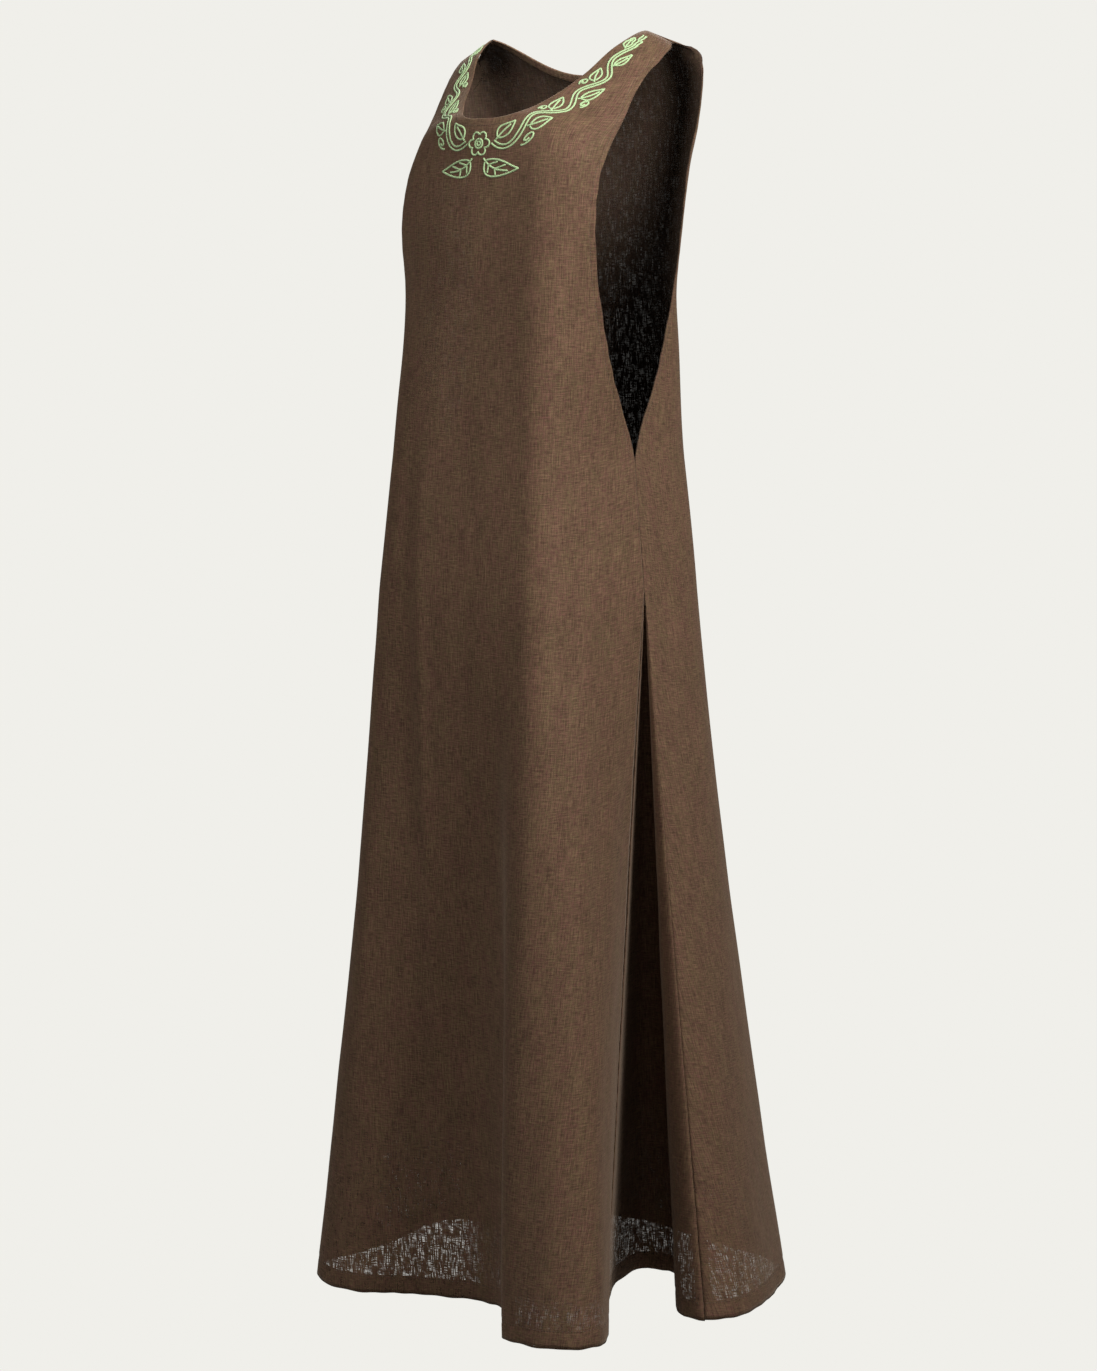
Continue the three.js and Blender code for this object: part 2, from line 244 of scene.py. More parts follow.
def weave_group():
    """Tone, hue, height and gaps of an uneven plain weave."""
    group = bpy.data.node_groups.new("linen weave", "ShaderNodeTree")
    socket = group.interface.new_socket
    socket(name="Cloth", in_out="INPUT", socket_type="NodeSocketVector")
    socket(name="Slubs", in_out="INPUT", socket_type="NodeSocketFloat")
    for name in ("Tone", "Hue", "Height", "Gap"):
        socket(name=name, in_out="OUTPUT", socket_type="NodeSocketFloat")
    entry = group.nodes.new("NodeGroupInput")
    cloth = entry.outputs["Cloth"]
    noise = {name: stretched_noise(group, cloth, *row) for name, row in PATTERNS.items()}

    def add(value, share, base):
        return calculate(group, "MULTIPLY_ADD", value, share, base)

    def vary(name, share, base):
        return add(calculate(group, "SUBTRACT", noise[name], 0.5), share, base)

    def both(first, second):
        return calculate(group, "MULTIPLY", first, second)

    def over(name, low, high):
        return step_up(group, noise[name], low, high)

    yarns = calculate(group, "ADD", noise["warp"], noise["weft"])
    thick = calculate(group, "ADD", over("thick warp", 0.58, 0.76), over("thick weft", 0.60, 0.78))
    thick = both(thick, entry.outputs["Slubs"])
    place = add_node(group, "ShaderNodeSeparateXYZ", {0: cloth})
    waves = [calculate(group, "SINE", both(place.outputs[axis], math.pi * YARNS_PER_METRE))
             for axis in ("X", "Y")]
    crossing = both(*waves)

    tone = vary("fleck", 0.25, add(yarns, 0.80, -0.30))
    tone = vary("dye", 0.22, add(crossing, 0.06, add(thick, 0.16, tone)))
    hue = vary("batches", 0.04, vary("yarn hue", 0.07, 0.5))
    height = add(thick, 0.35, add(crossing, 0.22, yarns))
    gap = both(both(over("thin warp", 0.50, 0.59), over("thin weft", 0.45, 0.56)),
               over("loose", 0.32, 0.60))
    add_node(group, "NodeGroupOutput", {"Tone": tone, "Hue": hue, "Height": height, "Gap": gap})
    return group


LINEN_WEAVE = weave_group()
print("linen weave:", len(LINEN_WEAVE.nodes), "nodes")


# %% [markdown]
# ### The cloth's materials
#
# The tone of the yarns picks a brown between two shades, their hue turns it a little towards
# red or green, the height becomes a fine bump, and the gaps become holes in the surface's
# alpha. An attribute of each wall, openness, says how much light they let through: most of it
# in the single layer above the hem, little higher up. A wall has two faces, and light that has
# come in through a gap should leave by the same gap, so a face that is met from inside the
# wall lets everything through. The inside of each wall, the hems, the armhole edges and the
# seam bands are painted a shade darker, as painted shade, and the turned edges of the neck are
# painted a shade lighter, as painted light falling from above.

# %% Linen materials
def shades(tree, value, dark, light, low=0.0, high=1.0):
    """A value turned into a colour between two shades."""
    ramp = add_node(tree, "ShaderNodeValToRGB", {"Fac": value})
    for element, place, colour in zip(ramp.color_ramp.elements, (low, high), (dark, light)):
        element.position = place
        element.color = (*colour, 1)
    return ramp.outputs["Color"]


def linen_material(name, dark, light):
    material, tree, shader = new_material(name)
    uv = add_node(tree, "ShaderNodeUVMap", uv_map="cloth").outputs[0]
    weave = add_node(tree, "ShaderNodeGroup", {"Cloth": uv, "Slubs": 1.0},
                     node_tree=LINEN_WEAVE).outputs
    colour = shades(tree, weave["Tone"], dark, light, 0.25, 0.85)
    dyed = add_node(tree, "ShaderNodeHueSaturation", {"Hue": weave["Hue"], "Color": colour})
    bump = add_node(tree, "ShaderNodeBump", {"Height": weave["Height"], "Strength": 0.5,
                                             "Distance": 0.0003})
    openness = add_node(tree, "ShaderNodeAttribute", attribute_name="openness").outputs["Fac"]
    inside = add_node(tree, "ShaderNodeNewGeometry").outputs["Backfacing"]
    seen_through = calculate(tree, "MULTIPLY", weave["Gap"], openness)
    solid = calculate(tree, "SUBTRACT", 1.0, seen_through)
    outside = calculate(tree, "SUBTRACT", 1.0, inside)
    plug(tree, shader, {
        "Base Color": dyed.outputs["Color"], "Normal": bump.outputs[0],
        "Roughness": calculate(tree, "MULTIPLY_ADD", weave["Tone"], -0.2, 0.9),
        "Alpha": calculate(tree, "MULTIPLY", solid, outside), "Specular IOR Level": 0.25,
        "Sheen Weight": 0.18, "Sheen Roughness": 0.45, "Sheen Tint": (0.9, 0.72, 0.55, 1)})
    return material


LINEN = linen_material("linen", (0.060, 0.0315, 0.0172), (0.170, 0.096, 0.055))
# A darker copy, painted shade, for the inside of every wall, the hems, armhole edges and seams
LINEN_PAINTED_SHADE = linen_material("linen with painted shade", (0.029, 0.0158, 0.009), (0.078, 0.045, 0.027))
# Two lighter copies, painted light from above, for the turned edges of the neck
LINEN_PAINTED_LIGHT_EDGE = linen_material("turned edge linen with painted light", (0.070, 0.039, 0.022), (0.19, 0.113, 0.068))
LINEN_PAINTED_LIGHT_FACING = linen_material("facing linen with painted light", (0.105, 0.060, 0.036), (0.28, 0.172, 0.108))
# Outside and inside of a wall: the inside is the darker copy with painted shade
LINENS = [LINEN, LINEN_PAINTED_SHADE]


# %% Thread materials
TWISTS_PER_METRE = 900
PLIES = 3


def thread_material(name, colour, sheen):
    """Twisted yarn. The UV map runs along the thread in metres, and once around it."""
    material, tree, shader = new_material(name)
    uv = add_node(tree, "ShaderNodeUVMap", uv_map="cloth").outputs[0]
    place = add_node(tree, "ShaderNodeSeparateXYZ", {0: uv}).outputs
    around = calculate(tree, "MULTIPLY", place["Y"], math.tau * PLIES)
    turns = calculate(tree, "MULTIPLY_ADD", place["X"], math.tau * TWISTS_PER_METRE, around)
    twist = calculate(tree, "SINE", turns)
    # The colour runs from 0.72 of the thread's own colour up to it along the twist, darker in the
    # grooves between the plies: painted shade
    shade = calculate(tree, "MULTIPLY_ADD", twist, 0.5, 0.5)
    bump = add_node(tree, "ShaderNodeBump", {"Height": twist, "Strength": 0.6,
                                             "Distance": 0.0002})
    plug(tree, shader, {
        "Base Color": shades(tree, shade, [0.72 * c for c in colour], colour),
        "Normal": bump.outputs[0], "Roughness": 0.55, "Sheen Weight": sheen,
        "Sheen Roughness": 0.4})
    return material


GREEN_THREAD = thread_material("green embroidery thread", (0.47, 0.665, 0.335), 0.25)
BROWN_THREAD = thread_material("brown sewing thread", (0.12, 0.075, 0.048), 0.1)
print("materials:", [material.name for material in bpy.data.materials])


# %% [markdown]
# ## The cut of the dress
#
# Cloth can be modelled by pulling a plane about, but a garment has a logic that numbers hold
# better. Every point of a panel lies on a thread. A thread starts at the neckline or the
# shoulder, runs down the body and ends at the hem. Two short tables give the half sections of
# the front and the back from the shoulders to the upper points of the gores, and four more
# give the line that the hem draws when it is seen from above. Between the gores' upper points
# and the hem the threads hang straight. The tables are in millimetres, as a maker's would be.

# %% Sizes and tables of the cut
MM = 0.001
FLOORWARD = -1343                  # height of the hem where the skirt hangs straight down
GORE_TOP = -575                    # height of the upper point of the gores
GORE_START = 0.02                  # share of the gore's length where its cloth begins to show
NECK_HALF = 105                    # half the neck opening, on the shoulder seams
SHOULDER_END = -13                 # height of the outer end of a shoulder seam
FULL_SECTIONS = -200               # from here down a section is level from side to side
UNDERARM = -442                    # height of the lowest point of an armhole
HEM_FOLD = 20                      # how much is turned up at the hem
ARMHOLE_FOLD = 7                   # and turned under at the armholes
NECK_FOLD = 9                      # and at the neckline
ALLOWANCE = 9                      # cloth beyond a seam, on the inside
SKIRT_LENGTH = GORE_TOP - FLOORWARD

SECTION_COLUMNS = ("edge_z", "middle_z", "middle_y", "edge_x", "edge_y", "square", "corner",
                   "lean")
FRONT_SECTIONS = [
    (-13, 15, -17, 130, 43, 1.0, 1.0, 0),
    (-20, -6, -22, 140, 28, 1.15, 1.15, 0),
    (-34, -20, -28, 140, 10, 1.3, 1.3, 0),
    (-56, -42, -40, 134, -12, 1.5, 1.5, 0),
    (-98, -78, -84, 131, -40, 1.5, 1.7, 0),
    (-118, -94, -104, 130, -54, 1.5, 2.4, 4),
    (-150, -143, -113, 130, -73, 1.5, 4.2, 18),
    (-200, -200, -119, 131, -82, 1.6, 6.4, 33),
    (-262, -262, -122, 130, -76, 1.7, 7.4, 36),
    (-345, -345, -125, 130, -55, 3.0, 7.4, 36),
    (-442, -442, -130, 128, -14, 6.0, 7.2, 32),
    (-575, -575, -138, 138, -10, 7.2, 7.2, 38),
]
BACK_SECTIONS = [
    (-13, 15, -17, 130, 43, 1.0),
    (-21, 2, 30, 149, 58, 1.3),
    (-36, -14, 60, 157, 59.5, 1.6),
    (-60, -42, 80, 163, 50.5, 1.8),
    (-98, -84, 92, 158, 48, 1.8),
    (-140, -134, 94, 151, 43, 1.7),
    (-200, -200, 90, 144, 42, 1.6),
    (-262, -262, 88, 137, 38, 1.8),
    (-345, -345, 92, 130, 22, 3.6),
    (-442, -442, 98, 128, -14, 5.5),
    (-575, -575, 110, 138, -10, 5.5),
]

# Each hem point is across, x and y. Across says which thread of the piece hangs there: -1 and 1
# are its edges, 0 its middle. On a gore it runs from 0 to 1.
HEM = {
    "front": [
        (-1.0, -255, -12), (-0.8, -253, -84), (-0.64, -221, -125), (-0.5, -176, -131),
        (-0.36, -118, -103), (-0.2, -67, -82), (0.0, -12, -76), (0.18, 40, -104),
        (0.36, 80, -162), (0.5, 146, -166), (0.63, 177, -136), (0.8, 154, -88),
        (1.0, 98, -22),
    ],
    "left gore": [
        (0.11, 74, 12), (0.27, 45, 62), (0.42, 44, 106), (0.53, 78, 118), (0.66, 112, 86),
        (0.8, 140, 44), (0.9, 166, 23),
    ],
    "back": [
        (-1.0, 199, 18), (-0.86, 218, 46), (-0.7, 213, 94), (-0.55, 193, 148),
        (-0.42, 160, 212), (-0.28, 112, 238), (-0.12, 44, 250), (0.1, -26, 262),
        (0.28, -82, 270), (0.45, -138, 262), (0.62, -188, 246), (0.8, -220, 216),
        (1.0, -208, 180),
    ],
    "right gore": [
        (0.1, -176, 166), (0.2, -157, 148), (0.32, -178, 132), (0.47, -222, 138),
        (0.6, -256, 110), (0.8, -258, 48),
    ],
}
print("hem points:", sum(len(rows) for rows in HEM.values()))


# %% [markdown]
# ### Sections
#
# A column of a section table is read on a smooth curve through its rows, so that the body has
# no steps. Each half section is a superellipse: one number turns it from a straight line into
# an ellipse and on to a box with round corners. The left half of the front has a corner of its
# own, which stands in from the edge: there the cloth breaks over the bust.

# %% Helpers for points
def unit(vectors):
    return vectors / np.linalg.norm(vectors, axis=-1, keepdims=True)


def run_along(points):
    """The length along a line up to each of its points."""
    steps = np.linalg.norm(np.diff(points, axis=0), axis=-1)
    return np.concatenate([[0], np.cumsum(steps)])


def first_thread(piece):
    """Where across starts on a piece."""
    return 0 if piece.endswith("gore") else -1


# %% Sections
MIDDLE_DROP = 2.75                 # how late a section drops from its middle to its edge


def section_value(rows, name, edge_z):
    """A column of a section table at given heights of the section's edge."""
    heights = np.array([row[0] for row in rows], float)
    values = np.array([row[SECTION_COLUMNS.index(name)] for row in rows], float)
    last = len(rows) - 1
    steps = np.arange(last + 1)
    before, after = np.maximum(steps - 1, 0), np.minimum(steps + 1, last)
    slopes = (values[after] - values[before]) / (heights[after] - heights[before])
    low = np.minimum(np.searchsorted(-heights[1:], -edge_z), last - 1)
    span = heights[low + 1] - heights[low]
    t = np.clip((edge_z - heights[low]) / span, 0, 1)
    curve = ((2 * t**3 - 3 * t**2 + 1) * values[low] + (t**3 - 2 * t**2 + t) * span * slopes[low]
             + (3 * t**2 - 2 * t**3) * values[low + 1] + (t**3 - t**2) * span * slopes[low + 1])
    line = values[low] + (values[low + 1] - values[low]) * t
    return np.where(low == last - 1, line, curve)


def section_point(rows, across, edge_z):
    """Points of a panel above the gores."""
    turn = np.minimum(np.abs(across), 1) * math.pi / 2
    square = section_value(rows, "square", edge_z)
    lean = np.zeros_like(square)
    if rows is FRONT_SECTIONS:
        square = np.where(across > 0, section_value(rows, "corner", edge_z), square)
        lean = np.where(across > 0, section_value(rows, "lean", edge_z), 0)
    sine, cosine = np.sin(turn), np.maximum(np.cos(turn), 0)
    reach = (sine**square + cosine**square) ** (-1 / square)
    out, forward = reach * sine, reach * cosine
    middle_y = section_value(rows, "middle_y", edge_z)
    middle_z = section_value(rows, "middle_z", edge_z)
    edge_y = section_value(rows, "edge_y", edge_z)
    half = section_value(rows, "edge_x", edge_z) * out - lean * (out + forward - 1)
    x = np.sign(across) * half
    y = edge_y + (middle_y - edge_y) * forward
    z = middle_z + (edge_z - middle_z) * out**MIDDLE_DROP
    return np.stack([x, y, z], -1)


bust = section_point(FRONT_SECTIONS, np.linspace(-1, 1, 5), np.full(5, FULL_SECTIONS))
print("front at the bust, across and forwards:", bust[:, :2].round().tolist())


# %% [markdown]
# ### Hem and skirt
#
# The hem is one closed curve through its rows, with each stretch as fast as its length asks, so
# that close rows make tight bends and far ones make calm stretches. A thread of the skirt runs
# straight from the body to its place on that curve. The more it slants, the higher it ends,
# because its length stays the same.

# %% Hem
HEM_ROWS = [(piece, *row) for piece, rows in HEM.items() for row in rows]
HEM_POINTS = np.array([row[2:] for row in HEM_ROWS], float)


def hem_curve(index):
    """A closed centripetal curve through the hem points. Index counts them, with fractions."""
    count = len(HEM_POINTS)
    whole = np.floor(index).astype(int)
    share = (index - whole)[..., None]
    p0, p1, p2, p3 = (HEM_POINTS[(whole + step) % count] for step in (-1, 0, 1, 2))
    d0, d1, d2 = (np.sqrt(np.linalg.norm(b - a, axis=-1, keepdims=True))
                  for a, b in ((p0, p1), (p1, p2), (p2, p3)))
    start = ((p1 - p0) / d0 - (p2 - p0) / (d0 + d1) + (p2 - p1) / d1) * d1
    end = ((p2 - p1) / d1 - (p3 - p1) / (d1 + d2) + (p3 - p2) / d2) * d1
    square = -3 * p1 + 3 * p2 - 2 * start - end
    cube = 2 * p1 - 2 * p2 + start + end
    return p1 + start * share + square * share**2 + cube * share**3


def hem_point(piece, across):
    """The place on the hem, seen from above, where a thread of a piece ends."""
    stations = [row[1] for row in HEM_ROWS if row[0] == piece]
    first = next(i for i, row in enumerate(HEM_ROWS) if row[0] == piece)
    if piece.endswith("gore"):
        stations = [0, *stations, 1]
        first -= 1
    return hem_curve(first + np.interp(across, stations, range(len(stations))))


print("hem at the middle of the front:", hem_point("front", np.array([0.0]))[0].round().tolist())


# %% Skirt
def thread_bow(piece, across):
    """Above 1, a thread leaves the upright late."""
    out = np.abs(across)
    if piece == "front":
        return 1.15 - 0.25 * np.minimum(out / 0.45, 1)
    if piece == "back":
        return 1.15 - 0.15 * out**6
    return np.ones_like(out)


def skirt_point(top, hem, down, bow):
    slant = np.linalg.norm(hem - top[..., :2], axis=-1)
    end_z = FLOORWARD + slant**2 / (2 * SKIRT_LENGTH)
    share = (down**bow)[..., None]
    flat = top[..., :2] + (hem - top[..., :2]) * share
    return np.concatenate([flat, (GORE_TOP + (end_z - GORE_TOP) * down)[..., None]], -1)


def cloth_form(piece, across, height):
    """Points of a piece. Height counts down the threads: it is the height of the section's
    edge above the gores, and then goes on to FLOORWARD at the hem."""
    across, height = np.broadcast_arrays(np.asarray(across, float), np.asarray(height, float))
    down = np.clip((GORE_TOP - height) / SKIRT_LENGTH, 0, 1)
    if piece.endswith("gore"):
        side = np.full_like(across, 1.0 if piece == "left gore" else -1.0)
        top = section_point(FRONT_SECTIONS, side, np.full_like(across, GORE_TOP))
        return skirt_point(top, hem_point(piece, across), down, thread_bow(piece, across))
    rows = FRONT_SECTIONS if piece == "front" else BACK_SECTIONS
    side = across if piece == "front" else -across
    body = section_point(rows, side, np.maximum(height, GORE_TOP))
    skirt = skirt_point(body, hem_point(piece, across), down, thread_bow(piece, across))
    return np.where((height < GORE_TOP)[..., None], skirt, body)


# %% Necklines
# How deep a neckline is, how square its corners are, and how steeply it falls from the strap
NECKLINES = {"front": (92, 3.2, 1.45), "back": (40, 2.6, 1.3)}


def neckline_height(piece, x):
    """The height of a neckline at a distance from the middle."""
    drop, corner, fall = NECKLINES[piece]
    share = np.minimum(np.abs(x) / NECK_HALF, 1)
    return -drop * (1 - share**corner) ** fall


def thread_top(piece, across):
    """The height at which each thread of a panel meets the neckline or the shoulder seam."""
    if piece.endswith("gore"):
        return np.full_like(across, GORE_TOP - GORE_START * SKIRT_LENGTH)
    above = np.full_like(across, SHOULDER_END)
    below = np.full_like(across, FULL_SECTIONS)

    def over_neck(height):
        point = cloth_form(piece, across, height)
        return (np.abs(point[..., 0]) < NECK_HALF) & (
            point[..., 2] > neckline_height(piece, point[..., 0]))

    reaches_shoulder = ~over_neck(above)
    for halving in range(40):
        middle = (above + below) / 2
        over = over_neck(middle)
        above, below = np.where(over, middle, above), np.where(over, below, middle)
    return np.where(reaches_shoulder, SHOULDER_END, below)


print("front neck at", float(thread_top("front", np.array([0.0]))[0].round(1)), "mm")


# %% [markdown]
# ### Measuring the cloth
#
# A weave runs along the cloth, not along the room, so each point also gets a place on the flat
# cloth: how far it is from the middle thread, and how far down its thread. We measure both on
# a coarse net of the whole piece and read them off in between. The same net tells us where a
# stitch or a leaf that is drawn on the flat cloth lands on the worn one.

# %% Cloth coordinates
NET_ACROSS = 241
NET_HEIGHTS = np.concatenate([np.linspace(SHOULDER_END, FULL_SECTIONS, 60),
                              np.linspace(FULL_SECTIONS, FLOORWARD, 180)[1:]])
NETS = {}


def cloth_net(piece):
    """The net of a piece: its threads, and the flat cloth's two coordinates at each knot."""
    if piece in NETS:
        return NETS[piece]
    low = first_thread(piece)
    heights = NET_HEIGHTS[NET_HEIGHTS < GORE_TOP] if low == 0 else NET_HEIGHTS
    threads = np.linspace(low, 1, NET_ACROSS)
    knots = cloth_form(piece, threads[None, :], heights[:, None])
    gap_across = np.linalg.norm(np.diff(knots, axis=1), axis=-1)
    gap_down = np.linalg.norm(np.diff(knots, axis=0), axis=-1)
    u = np.concatenate([np.zeros((len(heights), 1)), np.cumsum(gap_across, 1)], 1)
    u -= u[:, NET_ACROSS // 2][:, None]
    v = np.concatenate([np.zeros((1, NET_ACROSS)), np.cumsum(gap_down, 0)], 0)
    anchor = 0 if low == 0 else int(np.argmin(np.abs(heights - FULL_SECTIONS)))
    v += -heights[anchor] - v[anchor]
    NETS[piece] = threads, heights, u, v
    return NETS[piece]


def read_net(piece, across, height):
    """The flat cloth's coordinates, in millimetres, of given points of a piece."""
    threads, heights, u, v = cloth_net(piece)
    column = np.clip((across - threads[0]) / (threads[1] - threads[0]), 0, NET_ACROSS - 1.001)
    row = np.interp(-height, -heights, np.arange(len(heights)))
    row = np.minimum(row, len(heights) - 1.001)
    i, j = row.astype(int), column.astype(int)
    s, t = row - i, column - j
    return [net[i, j] * (1 - s) * (1 - t) + net[i + 1, j] * s * (1 - t)
            + net[i, j + 1] * (1 - s) * t + net[i + 1, j + 1] * s * t for net in (u, v)]


def cloth_uv(piece, across, height):
    """The UV coordinates of points of a piece: the flat cloth's, in metres."""
    return np.stack(read_net(piece, across, height), -1) * MM


for piece in HEM:
    u, v = cloth_net(piece)[2:]
    print(f"{piece}: {u[-1, -1] - u[-1, 0]:.0f} mm of cloth along the hem,"
          f" longest thread to {v.max():.0f} mm")


# %% From the flat cloth to the worn one
def find_on_cloth(piece, u, v):
    """The thread and the height of points given on the flat cloth, found step by step along
    the slopes there."""
    width = cloth_net(piece)[2][-1, -1]
    across, height = np.clip(u / width, -0.95, 0.95), -np.asarray(v, float)
    for attempt in range(25):
        aside = np.where(across > 0, -0.01, 0.01)
        along = np.where(height < GORE_TOP, 2.0, -2.0)
        u0, v0 = read_net(piece, across, height)
        u1, v1 = read_net(piece, across + aside, height)
        u2, v2 = read_net(piece, across, height + along)
        a, b, c, d = (u1 - u0) / aside, (u2 - u0) / along, (v1 - v0) / aside, (v2 - v0) / along
        det = a * d - b * c
        det = np.where(np.abs(det) < 1e-6, -1e-6, det)
        step_a = (d * (u - u0) - b * (v - v0)) / det
        step_h = (a * (v - v0) - c * (u - u0)) / det
        across = np.clip(across + np.clip(step_a, -0.1, 0.1), -1, 1)
        height = np.clip(height + np.clip(step_h, -30, 30), FLOORWARD, SHOULDER_END)
    return across, height


across, height = find_on_cloth("front", np.array([50.0]), np.array([400.0]))
print(f"50 mm aside and 400 mm down is thread {across[0]:.2f} at {height[0]:.0f} mm")


# %% [markdown]
# ### Folds
#
# The form above is the dress at its smoothest. Real linen falls in a few soft folds, each with
# its own length and depth. We could sculpt them. Placed on the flat cloth they stay easy
# to change: a fold is a line on the cloth from one point to another, how far it stands out or
# sinks in, how wide it is, and how slowly it fades at its ends. Widths and places are in
# millimetres, and u counts from the middle thread towards the wearer's left on the front.

# %% Folds
# piece, u and v of the upper end, u and v of the lower end, depth and width
FOLDS = [
    ("front", 80, -150, 122, 1700, 3.4, 24),
    ("front", 78, 260, 36, 1420, -3.6, 25),
    ("front", -56, 160, -60, 1180, 2.2, 34),
    ("front", -60, 280, -58, 1300, 1.5, 9),
    ("front", -80, 300, -82, 1320, -2.2, 13),
    ("front", -28, 560, -34, 1240, 1.0, 16),
    ("front", 148, 420, 186, 1400, 1.8, 14),
    ("front", 168, 500, 204, 1200, -1.8, 16),
    ("front", -150, 520, -236, 1280, 1.8, 20),
    ("back", -96, 300, -150, 1200, 2.4, 22),
    ("back", -54, 420, -88, 1100, -2.6, 26),
    ("back", 10, 340, 4, 1240, 2.2, 30),
    ("back", 72, 380, 116, 1160, -2.8, 28),
    ("back", 120, 460, 190, 1270, 2.2, 24),
    ("left gore", 40, 900, 66, 1330, 1.4, 12),
    ("right gore", -30, 880, -40, 1330, 1.6, 14),
]


def fade(x):
    """0 below 0, 1 above 1, and smooth in between."""
    x = np.clip(x, 0, 1)
    return x * x * (3 - 2 * x)


def near(distance, width):
    """1 at a place, and falling off softly within about a width of it."""
    return np.exp(-((distance / width) ** 2))


def fold_lift(piece, u, v):
    """How far the folds lift the cloth off its smooth form, in millimetres."""
    lift = np.zeros_like(u)
    for owner, u_top, v_top, u_low, v_low, depth, width in FOLDS:
        if owner != piece:
            continue
        along = (v - v_top) / (v_low - v_top)
        sway = 0.2 * width * np.sin(along * 5.3 + u_top)
        aside = (u - (u_top + (u_low - u_top) * along + sway)) / width
        ends = fade(along / 0.35) * fade((1 - along) / 0.25)
        uneven = 1 + 0.25 * np.sin(along * 9.1 + v_top)
        lift += depth * ends * uneven * near(aside, 1)
    return lift


print("folds:", len(FOLDS), "and the deepest is", max(abs(row[5]) for row in FOLDS), "mm")


# %% [markdown]
# ### What sewing does to cloth
#
# A seam pulls its cloth into small puckers, the iron leaves a line beside a turned edge, and no
# hem is quite even. We could sculpt this with a brush. Waves of a few lengths, in millimetres,
# that fade away from the seam are easier to keep even round the whole dress, and two waves that
# bend each other never repeat in a way that the eye finds.

# %% Puckers and pressed lines
def from_edges(piece, across, height):
    """How far points are from the two side edges of a piece, along the cloth."""
    threads, heights, u, v = cloth_net(piece)
    here = read_net(piece, across, height)[0]
    return [np.abs(np.interp(-height, -heights, u[:, end]) - here) for end in (0, -1)]


def sewn_lift(piece, across, height, u, v):
    """What needle and iron do to the cloth: a groove and puckers at each seam, a pressed line
    at the top of the hem and beside the armholes, and a few crumples everywhere."""
    lift = 0.28 * np.sin(u / 17 + 1.3 * np.sin(v / 41)) * np.sin(v / 53 + u / 29)
    lift += 0.12 * np.sin(u / 7.3 + v / 61) * np.sin(v / 19 + np.sin(u / 13))
    for aside in from_edges(piece, across, height):
        seam = fade((UNDERARM - height) / 8)
        puckers = np.sin(v / 2.9 + 1.7 * np.sin(v / 23))
        lift += seam * (-0.5 * near(aside, 2.2) + 0.22 * puckers * np.exp(-aside / 7))
        pressed = -0.6 * near(aside - ARMHOLE_FOLD + 1, 1.6)
        lift += (1 - seam) * (pressed + 0.12 * puckers * np.exp(-aside / 9))
        gathers = near(height - UNDERARM + 14, 16) * near(aside, 22)
        lift += 0.9 * gathers * np.sin(aside / 3.4 + 0.6 * np.sin(v / 9))
    above_fold = height - FLOORWARD - HEM_FOLD
    lift += 0.18 * np.sin(u / 3.6 + np.sin(u / 31)) * near(above_fold, 8)
    return lift - 0.5 * near(above_fold + 1.5, 1.6)


def edge_slip(piece, across, height, u, v):
    """How far a sewn edge strays from its smooth line: across at the armholes, up and down at
    the hem. A real hem is never quite even."""
    slip = np.zeros_like(u)
    for aside in from_edges(piece, across, height):
        slip += 0.4 * np.sin(v / 6.1 + 2 * np.sin(v / 27)) * np.exp(-aside / 8)
    slip *= 1 - fade((UNDERARM + 20 - height) / 20)
    rise = 0.55 * np.sin(u / 9.7 + 2 * np.sin(u / 33)) + 0.3 * np.sin(u / 4.1 + np.sin(u / 19))
    return slip, rise * near(height - FLOORWARD, 26)


# %% Worn cloth
WAIST_REACH = 80                   # how far above and below the gores' tops the bend is spread


def rounded_waist(piece, across, height):
    """What turns the corner between a panel's body and its straight skirt into a soft bend.
    At the side seams the two panels keep to their common line."""
    step = 2.0
    beside = np.maximum(WAIST_REACH - np.abs(height - GORE_TOP), 0)
    if piece.endswith("gore") or not beside.any():
        return 0.0
    middle, above, below = (cloth_form(piece, across, np.full_like(across, GORE_TOP + shift))
                            for shift in (0, step, -step))
    corner = (above + below - 2 * middle) / step
    share = beside**2 / (4 * WAIST_REACH) * fade((1 - np.abs(across)) / 0.15)
    return corner * share[..., None]


def place_on_cloth(piece, across, height, lift=0.0):
    """Points of the worn cloth in metres, moved out by lift in millimetres."""
    across, height = np.broadcast_arrays(np.asarray(across, float), np.asarray(height, float))
    aside = np.where(across > 0.5, -0.002, 0.002)
    down = np.where(height < GORE_TOP, 1.0, -1.0)
    here = cloth_form(piece, across, height)
    beside = (cloth_form(piece, across + aside, height) - here) * np.sign(aside)[..., None]
    below = (cloth_form(piece, across, height + down) - here) * -np.sign(down)[..., None]
    normal = unit(np.cross(below, beside))
    u, v = read_net(piece, across, height)
    rise = lift + fold_lift(piece, u, v) + sewn_lift(piece, across, height, u, v)
    slip, lift_edge = edge_slip(piece, across, height, u, v)
    moved = here + normal * rise[..., None] + rounded_waist(piece, across, height)
    moved += unit(beside) * slip[..., None]
    moved[..., 2] += lift_edge
    return moved * MM


print("front hem, middle thread:", place_on_cloth("front", 0.0, FLOORWARD).round(4), "m")


# %% [markdown]
# ## Making a wall of cloth
#
# A sheet of cloth has two faces and an edge all round. Blender's Solidify modifier could
# thicken a plane, but we already know how to place a point at any distance off the cloth, so a
# wall is two grids, one lifted and one sunk by half the thickness, joined by a rim.

# %% Meshes from points
def cell_corners(grid):
    """The four corners of each cell of a grid, going round."""
    return [grid[:-1, :-1], grid[1:, :-1], grid[1:, 1:], grid[:-1, 1:]]


